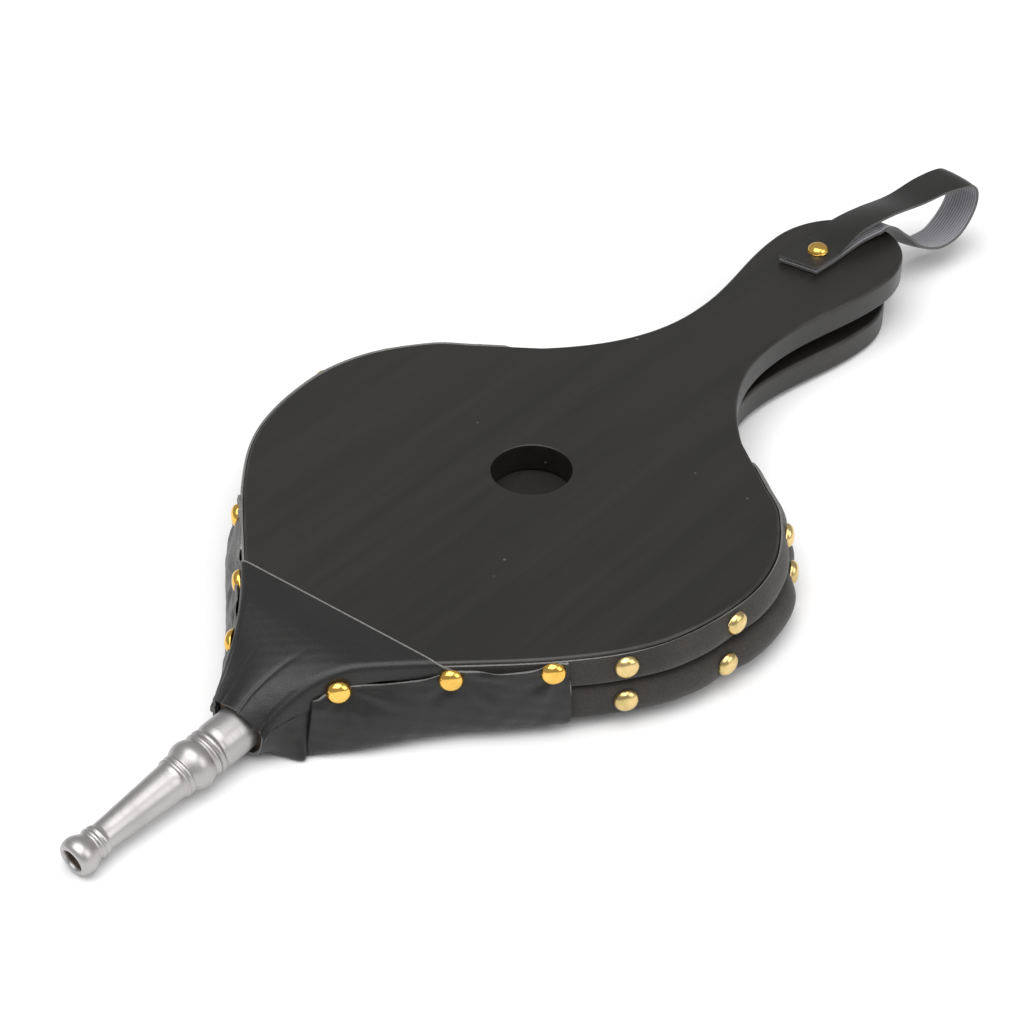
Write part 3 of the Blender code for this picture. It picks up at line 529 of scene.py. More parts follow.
def makeBoard(name, half, place, hole=0.0):
    # plate between z = 0 and the thickness, with rounded edges and an exact normal at every point
    v = {"segments": 6, "holeSteps": 96, "holeRound": 0.0005}
    thickness, radius = boards["thickness"], boards["edgeRound"]
    outline = half + [(x, -y) for x, y in reversed(half[:-1])]
    flat = np.array(outline)
    before, after = np.roll(flat, 1, axis=0), np.roll(flat, -1, axis=0)
    along = after - before
    along /= np.linalg.norm(along, axis=1)[:, None]
    outward = np.column_stack([-along[:, 1], along[:, 0]])
    if (outward * (flat - flat.mean(0))).sum() < 0:
        outward = -outward
    bm = bmesh.new()
    edgeLayer = bm.verts.layers.float.new("edge")
    normals = []

    def addRing(points, outs, inset, z, up, edge):
        ring = []
        for p, out in zip(points, outs):
            q = p - out * inset
            vert = bm.verts.new((q[0], q[1], z))
            vert[edgeLayer] = edge
            n = Vector((out[0] * math.cos(up), out[1] * math.cos(up), math.sin(up)))
            normals.append(n)
            ring.append(vert)
        return ring

    def addWall(points, outs, r):
        turns = [0.5 * math.pi * k / v["segments"] for k in range(v["segments"] + 1)]
        steps = [(r * (1 - math.sin(a)), r * (1 - math.cos(a)), a - 0.5 * math.pi, math.sin(2 * a))
            for a in turns]
        steps += [(r * (1 - math.cos(a)), thickness - r * (1 - math.sin(a)), a, math.sin(2 * a))
            for a in turns]
        rings = [addRing(points, outs, *step) for step in steps]
        joinRings(bm, rings)
        return rings[0], rings[-1]

    bottom, top = addWall(flat, outward, radius)
    loops = [[bottom], [top]]
    if hole:
        angles = [2 * math.pi * k / v["holeSteps"] for k in range(v["holeSteps"])]
        circle = np.array([(-hinge.x + hole * math.cos(a), hole * math.sin(a)) for a in angles])
        inwards = np.array([(-math.cos(a), -math.sin(a)) for a in angles])
        low, high = addWall(circle, inwards, v["holeRound"])
        loops = [[bottom, low], [top, high]]
    bm.verts.index_update()
    for rings in loops:
        edges = []
        for ring in rings:
            edges += [bm.edges.get((ring[k], ring[(k + 1) % len(ring)])) for k in range(len(ring))]
        bmesh.ops.triangle_fill(bm, use_beauty=True, use_dissolve=False, edges=edges)
    bmesh.ops.recalc_face_normals(bm, faces=bm.faces)
    mesh = finishMesh(bm, name)
    mesh.transform(place)
    mesh.shade_smooth()
    turn = place.to_3x3()
    mesh.normals_split_custom_set_from_vertices([(turn @ n).normalized() for n in normals])
    return linkNew(name, mesh, [lacquer])


lowerHalf = halfOutline(boards["lowerNoseX"], boards["lowerShorter"])
lowerBoard = makeBoard("lowerBoardShape", lowerHalf, Matrix.Identity(4))
upperHalf = [(x - hinge.x, y) for x, y in halfOutline(hinge.x)]
belowTop = Matrix.Translation((0, 0, -boards["thickness"]))
upperBoard = makeBoard("upperBoardShape", upperHalf, upperPlace @ belowTop, boards["airHole"])
print("boards made")


# bellows leather: a band on each board's edge, folded in between them
fold = {
    "thickness": 0.0007,
    "noseX": -0.0930,
    "endX": 0.0565,
    "creaseZ": 0.01075,
    "centre": Vector((-0.005, 0, 0)),
    "openHalf": math.radians(12),
    "crossingX": 0.0625,
    "crossingBow": 0.004,
    # (x, bulge) of the upper and the lower band
    "upperBulge": ((-0.10, 0), (-0.060, 0), (-0.050, 0.35), (-0.035, 0.8), (-0.010, 1.0), (0.020, 1.0),
        (0.040, 1.05), (0.052, 0.9)),
    "lowerBulge": ((-0.10, 0), (-0.060, 0), (-0.050, 0.25), (-0.035, 0.65), (-0.010, 0.95), (0.010, 1.2),
        (0.028, 1.3), (0.042, 1.05), (0.052, 0.8)),
    # (out from the rim, more for each bulge, depth, share of the lift) in mm, under the upper board's top
    "upperBand": (
        (0.42, 0.12, 0.75, 1.0), (0.46, 0.65, 1.5, 0.95), (0.50, 1.65, 3.2, 0.8), (0.52, 2.45, 5.4, 0.5),
        (0.52, 2.55, 7.2, 0.3), (0.48, 2.05, 8.8, 0), (0.25, 1.10, 9.85, 0), (-0.3, 0.40, 10.05, 0),
    ),
    # the same, under the lower board's top
    "lowerBand": (
        (-0.3, 0.60, -0.50, 0), (0.35, 1.90, -0.20, 0), (0.50, 3.10, 0.90, 0.2), (0.55, 4.30, 2.90, 0.4),
        (0.55, 4.75, 5.00, 0.6), (0.55, 4.30, 7.10, 0.8), (0.50, 3.10, 8.60, 0.9), (0.42, 2.00, 9.20, 0.95),
    ),
    "legShares": (0.06, 0.25, 0.5, 0.75, 0.95),
    "upperTacks": (-0.047, -0.013, 0.0275),
    "lowerTacks": (-0.047, -0.017, 0.0255),
}


def pinch(x, tacks):
    return sum(math.exp(-(((x - t) / 0.0055) ** 2)) for t in tacks)


def bandPoints(x, where):
    # section of the leather as (out from the rim, height), from the upper band's top to the lower band's foot
    v = fold
    top = topHeight(x)
    under, floor = top - boards["thickness"], boards["thickness"]
    wave = 0.5 * math.sin(where * 97) + 0.3 * math.sin(where * 211 + 1.3)
    b = np.interp(x, *zip(*v["upperBulge"])) * (1 + 0.10 * wave) * (1 - 0.45 * min(pinch(x,
        v["upperTacks"]), 1))
    c = np.interp(x, *zip(*v["lowerBulge"])) * (1 - 0.08 * wave) * (1 - 0.45 * min(pinch(x,
        v["lowerTacks"]), 1))
    left = ease((v["endX"] - x) / 0.011)  # the bands run out at the shoulder
    lift = boards["thickness"] * (1 - left)
    depth = (x - hinge.x) * math.tan(v["openHalf"]) + 0.001
    short = left + (1 - left) * 0.25
    inset = (1 - left) * 0.8 * mm

    def band(rows, bulge, level, lifted):
        return [((o + more * bulge) * mm * short - inset, level - d * mm - lifted * share) for o, more, d,
            share in rows]

    def leg(level, meet):
        return [(-depth * share, level + (meet - level) * share) for share in v["legShares"]]

    crease = v["creaseZ"]
    upper, lower = band(v["upperBand"], b, top, lift), band(v["lowerBand"], c, floor, -lift)
    legs = leg(under - 0.65 * mm, crease + 0.25 * mm)
    back = leg(floor + 0.65 * mm, crease - 0.25 * mm)[::-1]
    return upper + legs + [(-depth, crease)] + back + lower


def foldRings():
    v = fold
    rings = []
    xs = evenStations(v["noseX"], v["endX"], 110)
    half = []
    for x in xs:
        p, out = rimPoint(x, -1)
        half.append((p, out, x))
    reach = halfWidth(v["endX"]) - 0.002
    crossing = []
    for k in range(1, 12):
        y = reach * (k / 12 * 2 - 1)
        crossing.append((Vector((v["crossingX"] - v["crossingBow"] * (y / reach) ** 2, y, 0)),
            Vector((1, 0, 0)), v["endX"]))
    other = [(Vector((p.x, -p.y, 0)), Vector((o.x, -o.y, 0)), x) for p, o, x in reversed(half)]
    for p, out, x in half + crossing + other:
        inward = (v["centre"] - p).normalized()
        ring = []
        for o, z in bandPoints(x, p.x + 0.3 * (p.y > 0)):
            q = p + (out * o if o > 0 else inward * -o)
            ring.append((q.x, q.y, z))
        rings.append(smoothLine(ring, 2))
    return rings


foldSheet = thickSheet("foldedLeather", gridMesh("foldedLeather", foldRings()), fold["thickness"],
    [bandLeather, flesh, cutEdge])
print("folded leather made")


# leather under the nose and up both sides
wrap = {
    "thickness": 0.0008,
    # rows in mm from the rear edge to the nozzle, each from top to bottom: x, then (out from the rim, height)
    # at each point, or (x, out, height) at each point where x changes along the row
    "right": (
        (-61.2, (2.0, 21.2), (2.3, 17.5), (2.8, 11.0), (2.9, 5.0), (2.5, 0.8), (1.0, -0.9)),
        (-64.0, (2.3, 21.1), (2.6, 17.2), (2.9, 10.8), (3.0, 4.8), (2.5, 0.6), (1.0, -1.0)),
        (-68.5, (2.4, 20.0), (2.9, 16.3), (3.2, 10.3), (3.2, 4.4), (2.5, 0.3), (1.0, -1.1)),
        (-75.0, (2.4, 19.4), (3.0, 15.8), (3.4, 10.0), (3.4, 4.0), (2.6, 0.0), (1.0, -1.3)),
        (-82.5, (2.5, 20.0), (2.9, 16.6), (3.4, 10.4), (3.7, 3.8), (2.9, -0.4), (1.0, -1.6)),
        (-90.0, (2.3, 17.8), (3.0, 14.8), (3.9, 9.6), (4.5, 3.0), (3.6, -1.3), (1.2, -2.2)),
        (-98.0, (2.4, 16.6), (3.4, 13.6), (5.0, 8.8), (6.0, 2.2), (5.0, -2.2), (1.6, -3.2)),
        (-104.8, (2.4, 16.6), (3.2, 13.8), (5.2, 8.2), (6.6, 1.4), (5.8, -3.0), (2.0, -4.0)),
        ((-109.0, 2.6, 15.4), (-109.2, 3.3, 12.2), (-109.6, 4.6, 7.2), (-110.4, 5.4, 0.6),
            (-111.0, 4.9, -3.4), (-111.2, 2.0, -4.5)),
        ((-111.4, 2.9, 14.0), (-111.9, 3.2, 10.6), (-112.5, 3.6, 5.6), (-113.5, 3.9, 0.0),
            (-114.2, 3.8, -3.2), (-114.0, 2.2, -4.9)),
        ((-112.4, 2.0, 13.4), (-113.0, 2.2, 9.8), (-113.8, 2.4, 4.8), (-114.9, 2.7, -0.6),
            (-115.4, 2.8, -3.4), (-115.0, 1.4, -5.1)),
        ((-111.0, 1.2, 12.4), (-111.5, 1.3, 8.6), (-112.3, 1.4, 4.2), (-113.6, 1.6, -0.8),
            (-114.6, 1.9, -3.6), (-114.6, 0.8, -5.1)),
        ((-111.8, 0.5, 10.6), (-112.4, 0.7, 7.2), (-113.4, 1.3, 3.4), (-115.0, 2.4, -0.9),
            (-116.4, 3.5, -4.0), (-116.4, 2.2, -5.2)),
        ((-115.0, 0.4, 9.2), (-115.5, 0.8, 6.2), (-116.2, 1.7, 2.4), (-117.2, 3.1, -1.4),
            (-117.8, 4.0, -4.2), (-117.8, 2.2, -5.2)),
        ((-118.6, 0.4, 7.8), (-118.9, 0.7, 5.0), (-119.4, 1.3, 1.8), (-119.8, 1.5, -1.6),
            (-120.2, 0.4, -3.9), (-120.4, -2.4, -4.9)),
        ((-122.4, 0.5, 6.6), (-122.5, 0.6, 4.0), (-122.7, 0.4, 1.2), (-122.8, -0.7, -1.4),
            (-122.9, -3.0, -3.5), (-123.0, -5.6, -4.4)),
        ((-126.0, 0.0, 6.0), (-126.0, -0.3, 3.6), (-126.1, -1.0, 0.8), (-126.2, -2.4, -1.6),
            (-126.3, -4.6, -3.2), (-126.4, -7.4, -4.0)),
    ),
    "left": (
        (-66.5, (1.3, 21.3), (1.7, 17.5), (3.2, 11.0), (4.3, 5.0), (4.0, 0.8), (1.6, -0.9)),
        (-69.8, (1.25, 21.1), (1.8, 17.3), (3.7, 10.8), (4.9, 4.8), (4.4, 0.6), (1.6, -1.0)),
        (-75.0, (1.15, 20.7), (2.6, 16.3), (4.6, 10.4), (5.6, 4.4), (4.8, 0.2), (1.8, -1.2)),
        (-82.0, (1.3, 20.4), (3.1, 16.0), (5.2, 10.0), (6.2, 3.9), (5.2, -0.3), (1.8, -1.6)),
        (-90.8, (2.0, 19.8), (2.9, 16.4), (5.0, 9.8), (6.2, 3.2), (5.4, -1.1), (2.0, -2.4)),
        (-97.5, (2.8, 18.6), (3.6, 15.0), (5.2, 8.8), (6.4, 2.2), (5.5, -2.0), (2.0, -3.2)),
        (-103.5, (2.7, 17.6), (3.5, 14.2), (5.2, 8.0), (6.4, 1.4), (5.5, -2.8), (2.0, -4.0)),
        (-108.6, (2.4, 16.4), (3.0, 13.6), (4.8, 7.2), (6.0, 0.6), (5.2, -3.5), (2.0, -4.6)),
        ((-113.0, 2.1, 14.0), (-113.0, 3.0, 10.8), (-113.2, 4.7, 5.4), (-113.6, 5.5, -0.4),
            (-114.0, 4.2, -4.0), (-114.0, 1.0, -4.9)),
        ((-117.5, 1.5, 10.8), (-117.6, 2.2, 7.8), (-118.0, 3.4, 3.6), (-118.6, 3.6, -1.0),
            (-119.2, 2.0, -4.1), (-119.4, -3.0, -4.9)),
        ((-122.0, 0.6, 8.0), (-122.0, 1.1, 5.6), (-122.2, 1.7, 2.2), (-122.6, 1.2, -1.4),
            (-122.8, -1.4, -4.2), (-123.0, -5.0, -4.8)),
        ((-126.0, 0.2, 6.8), (-126.0, 0.4, 4.2), (-126.1, 0.0, 1.2), (-126.2, -1.4, -1.8),
            (-126.3, -4.2, -4.0), (-126.4, -7.4, -4.6)),
    ),
    "floorFrom": -112.5,
    "hem": 3.6,  # how far the foot turns in under the lower board, mm
    # tacks as (x, height) in mm, where the leather is drawn in
    "tacks": {-1: ((-63.0, 18.5), (-82.5, 17.4), (-105.0, 15.6)),
        1: ((-69.5, 17.4), (-91.0, 17.1), (-108.5, 14.3))},
    "pull": {-1: 1.25, 1: 0.45},
    "pullReach": 5.2,
    "pleat": 0.34,
}


def wrapRows(rows, side):
    v = wrap
    placed = []
    for row in rows:
        line = []
        full = list(row) if len(row[-1]) == 3 else [(row[0], *point) for point in row[1:]]
        last = full[-1]
        if last[0] >= v["floorFrom"]:
            full += [(last[0], last[1] - 0.45 * v["hem"], last[2] - 0.05),
                (last[0], last[1] - v["hem"], max(last[2], -4.9) + 0.05)]
        for x, out, z in full:
            p = besideRim(x * mm, side, out * mm)
            line.append((p.x, p.y, z * mm))
        if last[0] < v["floorFrom"]:
            line.append((last[0] * mm, line[-1][1] * 0.5, -0.00495))
            line.append((last[0] * mm, side * 0.0001, -0.0050))
        placed.append(np.array(smoothLine(line, 6)))
    columns = [smoothLine(column, 7) for column in zip(*placed)]
    return [list(row) for row in zip(*columns)]


def drawnIn(rows, side):
    # pulls the leather in at each tack, with pleats running from it and small wrinkles between
    v = wrap
    moved = []
    for row in rows:
        line = []
        for p in row:
            x, y, z = (c * 1000 for c in p)
            _, out = rimPoint(max(float(p[0]), boards["blockFrontX"]), side)
            shift = 0.0
            for tackX, tackZ in v["tacks"][side]:
                dx, dz = (x - tackX) * 1.15, z - tackZ
                r = math.hypot(dx, dz)
                shift -= v["pull"][side] * math.exp(-((r / v["pullReach"]) ** 2)) * (1 if dz < 1 else 0.75)
                around = math.atan2(dz, dx)
                fan = math.cos(6 * around + tackX) + 0.6 * math.cos(11 * around + 2 * tackX)
                shift += v["pleat"] * fan * math.exp(-(((r - 7.0) / 4.0) ** 2)) * (dz < 4)
            wrinkle = math.sin(0.62 * x + 0.50 * z) * math.sin(0.21 * x - 0.9 * z + 1.0)
            wrinkle += 0.5 * math.sin(1.3 * x - 0.55 * z)
            shift += 0.13 * wrinkle * ease((20 - z) / 6) * ease((z + 5) / 4) * ease((x + 124) / 8)
            ridge = (x + 66.5) * 0.78 + (15 - z) * 0.55  # one long fold from the rear tack
            shift += 0.30 * math.exp(-((ridge / 1.6) ** 2)) * ease((17 - z) / 5) * (side < 0)
            line.append((p[0] + out.x * shift * 0.001, p[1] + out.y * shift * 0.001, p[2]))
        moved.append(line)
    return moved


def makeWrap():
    pieces = []
    for side, key in ((-1, "right"), (1, "left")):
        pieces.append(gridMesh("wrap_" + key, drawnIn(wrapRows(wrap[key], side), side)))
        if side > 0:
            pieces[-1].flip_normals()
    bm = bmesh.new()
    for mesh in pieces:
        bm.from_mesh(mesh)
    mesh = finishMesh(bm, "noseWrap")
    return thickSheet("noseWrap", mesh, wrap["thickness"], [wrapLeather, flesh, cutEdge])


noseWrap = makeWrap()
print("nose wrap made")


# leather over the upper board's front end
patch = {
    "thickness": 0.0008,
    "rearRight": -0.0856,
    "rearLeft": -0.0885,
    "frontX": -0.1278,
    "frontHalf": 0.0100,
    "lift": 0.0009,
    # (x, how far the edge comes down) in mm, on the right and on the left
    "downRight": ((-128, 0.9), (-125, 1.8), (-119, 4.6), (-115, 6.2), (-111, 7.6), (-109, 6.4), (-104, 5.4),
        (-98, 5.0), (-90, 4.6), (-80, 4.2)),
    "downLeft": ((-128, 2.4), (-124, 4.5), (-119, 6.5), (-110, 7.0), (-98, 6.0), (-90, 5.0), (-80, 4.2)),
    "slant": 0.0040,  # how far the right rear corner runs back as it turns down
    "skive": 0.0005,  # width of the pale cut line along the rear edge
    "along": 60,
    "across": 44,
}


def patchRows():
    v = patch
    rows = []
    for t in [0.0, v["skive"] / 0.04] + [i / v["along"] for i in range(1, v["along"] + 1)]:
        row = []

        def stationX(share):
            rear = (v["rearRight"] * (1 - share) + v["rearLeft"] * (1 + share)) / 2
            front = v["frontX"] + 0.0016 * share * share
            return rear + (front - rear) * t

        def wide(x):
            return halfWidth(x) if x > boards["blockFrontX"] else v["frontHalf"]

        def top(x, y):
            level = topHeight(x) if x > hinge.x else noseTop(x, y) + 0.0003 * ease(1 - (hinge.x - x) / 0.01)
            return level + v["lift"]

        for side, downs in ((-1, v["downRight"]), (1, v["downLeft"])):
            x = stationX(side)
            y = wide(x)
            edge, away = rimPoint(max(x, boards["blockFrontX"]), side)
            z = top(x, y)
            down = float(np.interp(x * 1000, *zip(*downs))) * 0.001
            bend = []
            for out, share, fall in ((-0.0004, 0, 0.00008), (0.0004, 0, 0.0005), (0.0009, 0, 0.0014),
                (0.0011, 0.35, 0.0014), (0.0012, 0.7, 0.0014), (0.0013, 1.0, 0.0014)):
                low = z - fall - share * max(down - 0.0014, 0.0002)
                slip = v["slant"] * (z - low) / 0.0038 * (1 - t) ** 3 if side < 0 else 0.0
                spot = besideRim(x + slip, side, out) if x > -0.118 else Vector((x, edge.y + away.y * out, 0))
                bend.append((spot.x, spot.y, low))
            if side < 0:
                row += list(reversed(bend))
                for k in range(1, v["across"]):
                    share = 2 * k / v["across"] - 1
                    xk = stationX(share)
                    yk = share * (wide(xk) - 0.0006)
                    rightLine = math.exp(-(((share + 0.50 - 0.25 * t) / 0.06) ** 2))
                    leftLine = math.exp(-(((share - 0.30 - 0.2 * t) / 0.05) ** 2))
                    crease = 0.0003 * rightLine * ease((t - 0.35) / 0.4)
                    crease += 0.00022 * leftLine * ease((t - 0.5) / 0.4)
                    lines = 0.00004 * math.sin(1500 * xk + 420 * yk) * math.sin(700 * yk + 1) * ease(t / 0.15)
                    flare = 0.0010 * ease((share - 0.35) / 0.6) * ease((t - 0.8) / 0.2)
                    row.append((xk, yk, top(xk, yk) - crease + lines + flare))
            else:
                row += bend
        rows.append(smoothLine(row, 2))
    return rows


nosePatch = thickSheet("nosePatch", gridMesh("nosePatch", patchRows(), skived=[0]), patch["thickness"],
    [wrapLeather, flesh, cutEdge], flip=True)
print("nose patch made")


# the wood that holds the nozzle
block = {"rear": -0.1025, "step": -0.112, "lapZ": 0.0098, "bottom": -0.0038, "chamfer": 0.0052,
    "topPoints": 9}


def makeBlock():
    v = block
    rings = []
    stations = [(v["rear"], True), (-0.107, True), (v["step"] - 0.0003, True), (v["step"] - 0.0004, False)]
    stations += [(float(x), False) for x in np.linspace(-0.114, boards["blockFrontX"], 7)]
    for x, laps in stations:
        half = halfWidth(x) - 0.0003
        low = v["lapZ"] if laps else v["bottom"]
        corner = 0.0006 if laps else 0.0006 + v["chamfer"] * ease((v["step"] - x) / 0.010)
        ring = []
        for k in range(v["topPoints"]):
            y = half * (2 * k / (v["topPoints"] - 1) - 1)
            ring.append((x, y, noseTop(x, y) - 0.0001))
        ring += [(x, half, low + corner), (x, half - 0.3 * corner, low + 0.3 * corner),
            (x, half - corner, low)]
        ring += [(x, -half + corner, low), (x, -half + 0.3 * corner, low + 0.3 * corner),
            (x, -half, low + corner)]
        rings.append(ring)
    bm = bmesh.new()
    made = [[bm.verts.new(p) for p in ring] for ring in rings]
    joinRings(bm, made)
    bm.faces.new(made[0])
    bm.faces.new(list(reversed(made[-1])))
    bmesh.ops.recalc_face_normals(bm, faces=bm.faces)
    mesh = finishMesh(bm, "noseBlockShape")
    mesh.shade_smooth()
    mesh.set_sharp_from_angle(angle=math.radians(35))
    return linkNew("noseBlockShape", mesh, [wood])


blockPiece = makeBlock()
print("nose block made")


nozzle = {
    "root": Vector((-0.124, 0, 0.0037)),
    "droop": math.radians(4.55),
    "steps": 96,
    # (radius, distance ahead of the nose block) in mm, from the lip back to the wood
    "outside": (
        (3.3, 63.1), (3.45, 63.5), (3.8, 63.75), (4.4, 63.7), (5.0, 63.3), (5.45, 62.6), (5.7, 61.7), (5.75,
            60.8), (5.6, 59.9),
        (5.2, 58.9), (4.75, 58.0), (4.4, 57.3), (4.3, 56.9), (4.45, 56.6), (4.75, 56.4), (4.82,
            56.0), (4.75, 55.6), (4.45, 55.4),
        (4.42, 55.1), (4.65, 54.9), (4.72, 54.4), (4.62, 53.9), (4.3, 53.5), (4.22, 52.6), (4.3,
            50.0), (4.95, 39.0), (5.6, 28.6),
        (5.65, 27.3), (5.85, 26.95), (6.15, 26.75), (6.25, 26.3), (6.15, 25.85), (5.85, 25.65), (5.87,
            25.4), (6.18, 25.2), (6.28, 24.7),
        (6.18, 24.25), (5.85, 24.05), (6.15, 23.5), (6.75, 22.6), (7.2, 21.6), (7.45, 20.4), (7.4,
            19.2), (7.1, 18.0), (6.6, 17.0),
        (6.3, 16.4), (6.35, 16.1), (6.75, 15.9), (6.9, 15.4), (6.75, 14.9), (6.45, 14.7), (6.45,
            14.4), (6.8, 14.2), (6.95, 13.6),
        (6.85, 13.05), (6.6, 12.8), (6.5, 12.2), (6.65, 11.5), (6.85, 10.8), (6.9, 10.0), (6.9, 5.0), (6.9,
            0.4),
    ),
    "bore": ((3.2, 62.6), (3.1, 58.0), (3.0, 50.0), (2.65, 20.0)),
}


def makeNozzle():
    v = nozzle
    profile = [(r * mm, h * mm, 0) for r, h in v["outside"]]
    profile = [(0.0003, v["bore"][-1][1] * mm, 1)] + [(r * mm, h * mm, 1) for r,
        h in reversed(v["bore"])] + profile
    profile.append((0.0003, v["outside"][-1][1] * mm, 0))
    bm = bmesh.new()
    angles = [2 * math.pi * k / v["steps"] for k in range(v["steps"])]
    rings = [[bm.verts.new((r * math.cos(a), r * math.sin(a), h)) for a in angles] for r, h, _ in profile]
    for band, (_, _, inside) in zip(joinRings(bm, rings), profile[1:]):
        for face in band:
            face.material_index = inside
    bm.faces.new(list(reversed(rings[0]))).material_index = 1
    bm.faces.new(rings[-1])
    bmesh.ops.recalc_face_normals(bm, faces=bm.faces)
    mesh = finishMesh(bm, "nozzleTurned")
    way = Vector((-math.cos(v["droop"]), 0, -math.sin(v["droop"])))
    mesh.transform(Matrix.Translation(v["root"]) @ way.to_track_quat("Z", "Y").to_matrix().to_4x4())
    mesh.shade_smooth()
    mesh.set_sharp_from_angle(angle=math.radians(60))
    return linkNew("nozzleTurned", mesh, [aluminium, bore])


nozzlePiece = makeNozzle()
print("nozzle made")


strap = {
    "tackX": 0.1564,
    "tackY": 0.0033,
    "width": 0.0145,
    "thickness": 0.0009,
    # (distance from the tack, sideways, height over the board, twist in degrees), from the upper end round
    "route": (
        (-10.0, 1.2, 2.55, 0), (0.0, 0.6, 2.55, 0), (4.2, 0.6, 2.55, 0), (8.0, 0.5, 3.0, -5), (18.2, 0.1,
            4.6, -10),
        (30.3, -2.7, 5.6, -11), (44.5, -5.8, 5.2, -10), (58.2, -8.8, 6.4, -2), (69.2, -11.9, 5.6, 6), (74.5,
            -12.1, -0.5, 13),
        (72.6, -12.3, -7.0, 13), (66.4, -12.4, -11.8, 11), (58.5, -12.6, -13.4, 10), (50.8, -10.7, -13.5,
            8), (43.0, -8.8, -10.0, 5),
        (36.5, -6.4, -3.2, 0), (30.8, -3.8, 2.4, -4), (26.0, -1.9, 2.7, -5), (19.0, -0.1, 1.9, -4), (12.5,
            0.5, 1.3, -3),
        (7.0, 0.6, 0.95, -1), (0.0, 0.6, 0.85, 0), (-10.0, 1.2, 0.85, 0),
    ),
    "across": 14,
    "cut": 0.0012,
}


def strapRows():
    v = strap
    line = smoothLine(v["route"], 8)
    rows, run, before = [], 0.0, None
    for k, (d, side, h, twist) in enumerate(line):
        last, following = line[max(k - 1, 0)], line[min(k + 1, len(line) - 1)]
        along = Vector(following[:3] - last[:3]).normalized()
        across = (Vector((0, 1, 0)) - along * along.y).normalized()
        away = along.cross(across)
        turn = math.radians(twist)
        edgeWay = across * math.cos(turn) + away * math.sin(turn)
        faceWay = away * math.cos(turn) - across * math.sin(turn)
        middle = Vector((d, side, h)) * 0.001
        run += (middle - before).length if before is not None else 0.0
        before = middle
        row = []
        for j in range(v["across"] + 1):
            share = j / v["across"] - 0.5
            cup = 0.0004 * (1 - 4 * share * share) * ease((k - 16) / 24) * ease((len(line) - 17 - k) / 24)
            slant = -v["cut"] * 2 * share * (ease(1 - k / 8) - ease((k - len(line) + 9) / 8))
            p = middle + edgeWay * share * v["width"] + faceWay * cup + along * slant
            row.append(upperPlace @ Vector((v["tackX"] - hinge.x + p.x, v["tackY"] + p.y, p.z)))
        rows.append((row, run))
    return rows


def makeStrap():
    v = strap
    rows = strapRows()
    mesh = gridMesh("hangingStrap", [r for r, _ in rows], uv=lambda i,
        k: ((k / v["across"] - 0.5) * v["width"], rows[i][1]))
    return thickSheet("hangingStrap", mesh, v["thickness"], [strapFace, backing, strapEdge]), rows[-1][1]


strapPiece, strapLength = makeStrap()
print("strap made, length", round(strapLength, 4))


flap = {"hingeX": -0.021, "length": 0.039, "tail": 0.004, "half": 0.017, "thickness": 0.0008, "z": -0.0102,
    "sag": 0.0003}


def makeFlap():
    v = flap
    rows = []
    for i in range(25):
        x = -v["tail"] + (v["length"] + v["tail"]) * i / 24
        middle = v["length"] - v["half"]
        half = v["half"] if x < middle else math.sqrt(max(v["half"] ** 2 - (x - middle) ** 2, 0.00001**2))
        row = []
        for k in range(17):
            share = 2 * k / 16 - 1
            y = share * max(half, 0.0004)
            z = v["z"] - v["sag"] * (x / v["length"]) ** 2 * (x > 0) * (0.6 + 0.4 * math.cos(share * 2.2))
            row.append(upperPlace @ Vector((v["hingeX"] - hinge.x + x, y, z)))
        rows.append(row)
    return thickSheet("valveFlapLeather", gridMesh("valveFlapLeather", rows), v["thickness"],
        [flapLeatherPaintedShade, flesh, cutEdge])


flapPiece = makeFlap()
print("valve flap made")


# brass tacks, placed by geometry nodes
tackValues = {"Head radius": 0.0037, "Head height": 0.0024, "Fullness": 0.70, "Tilt": 0.05, "Seed": 5}


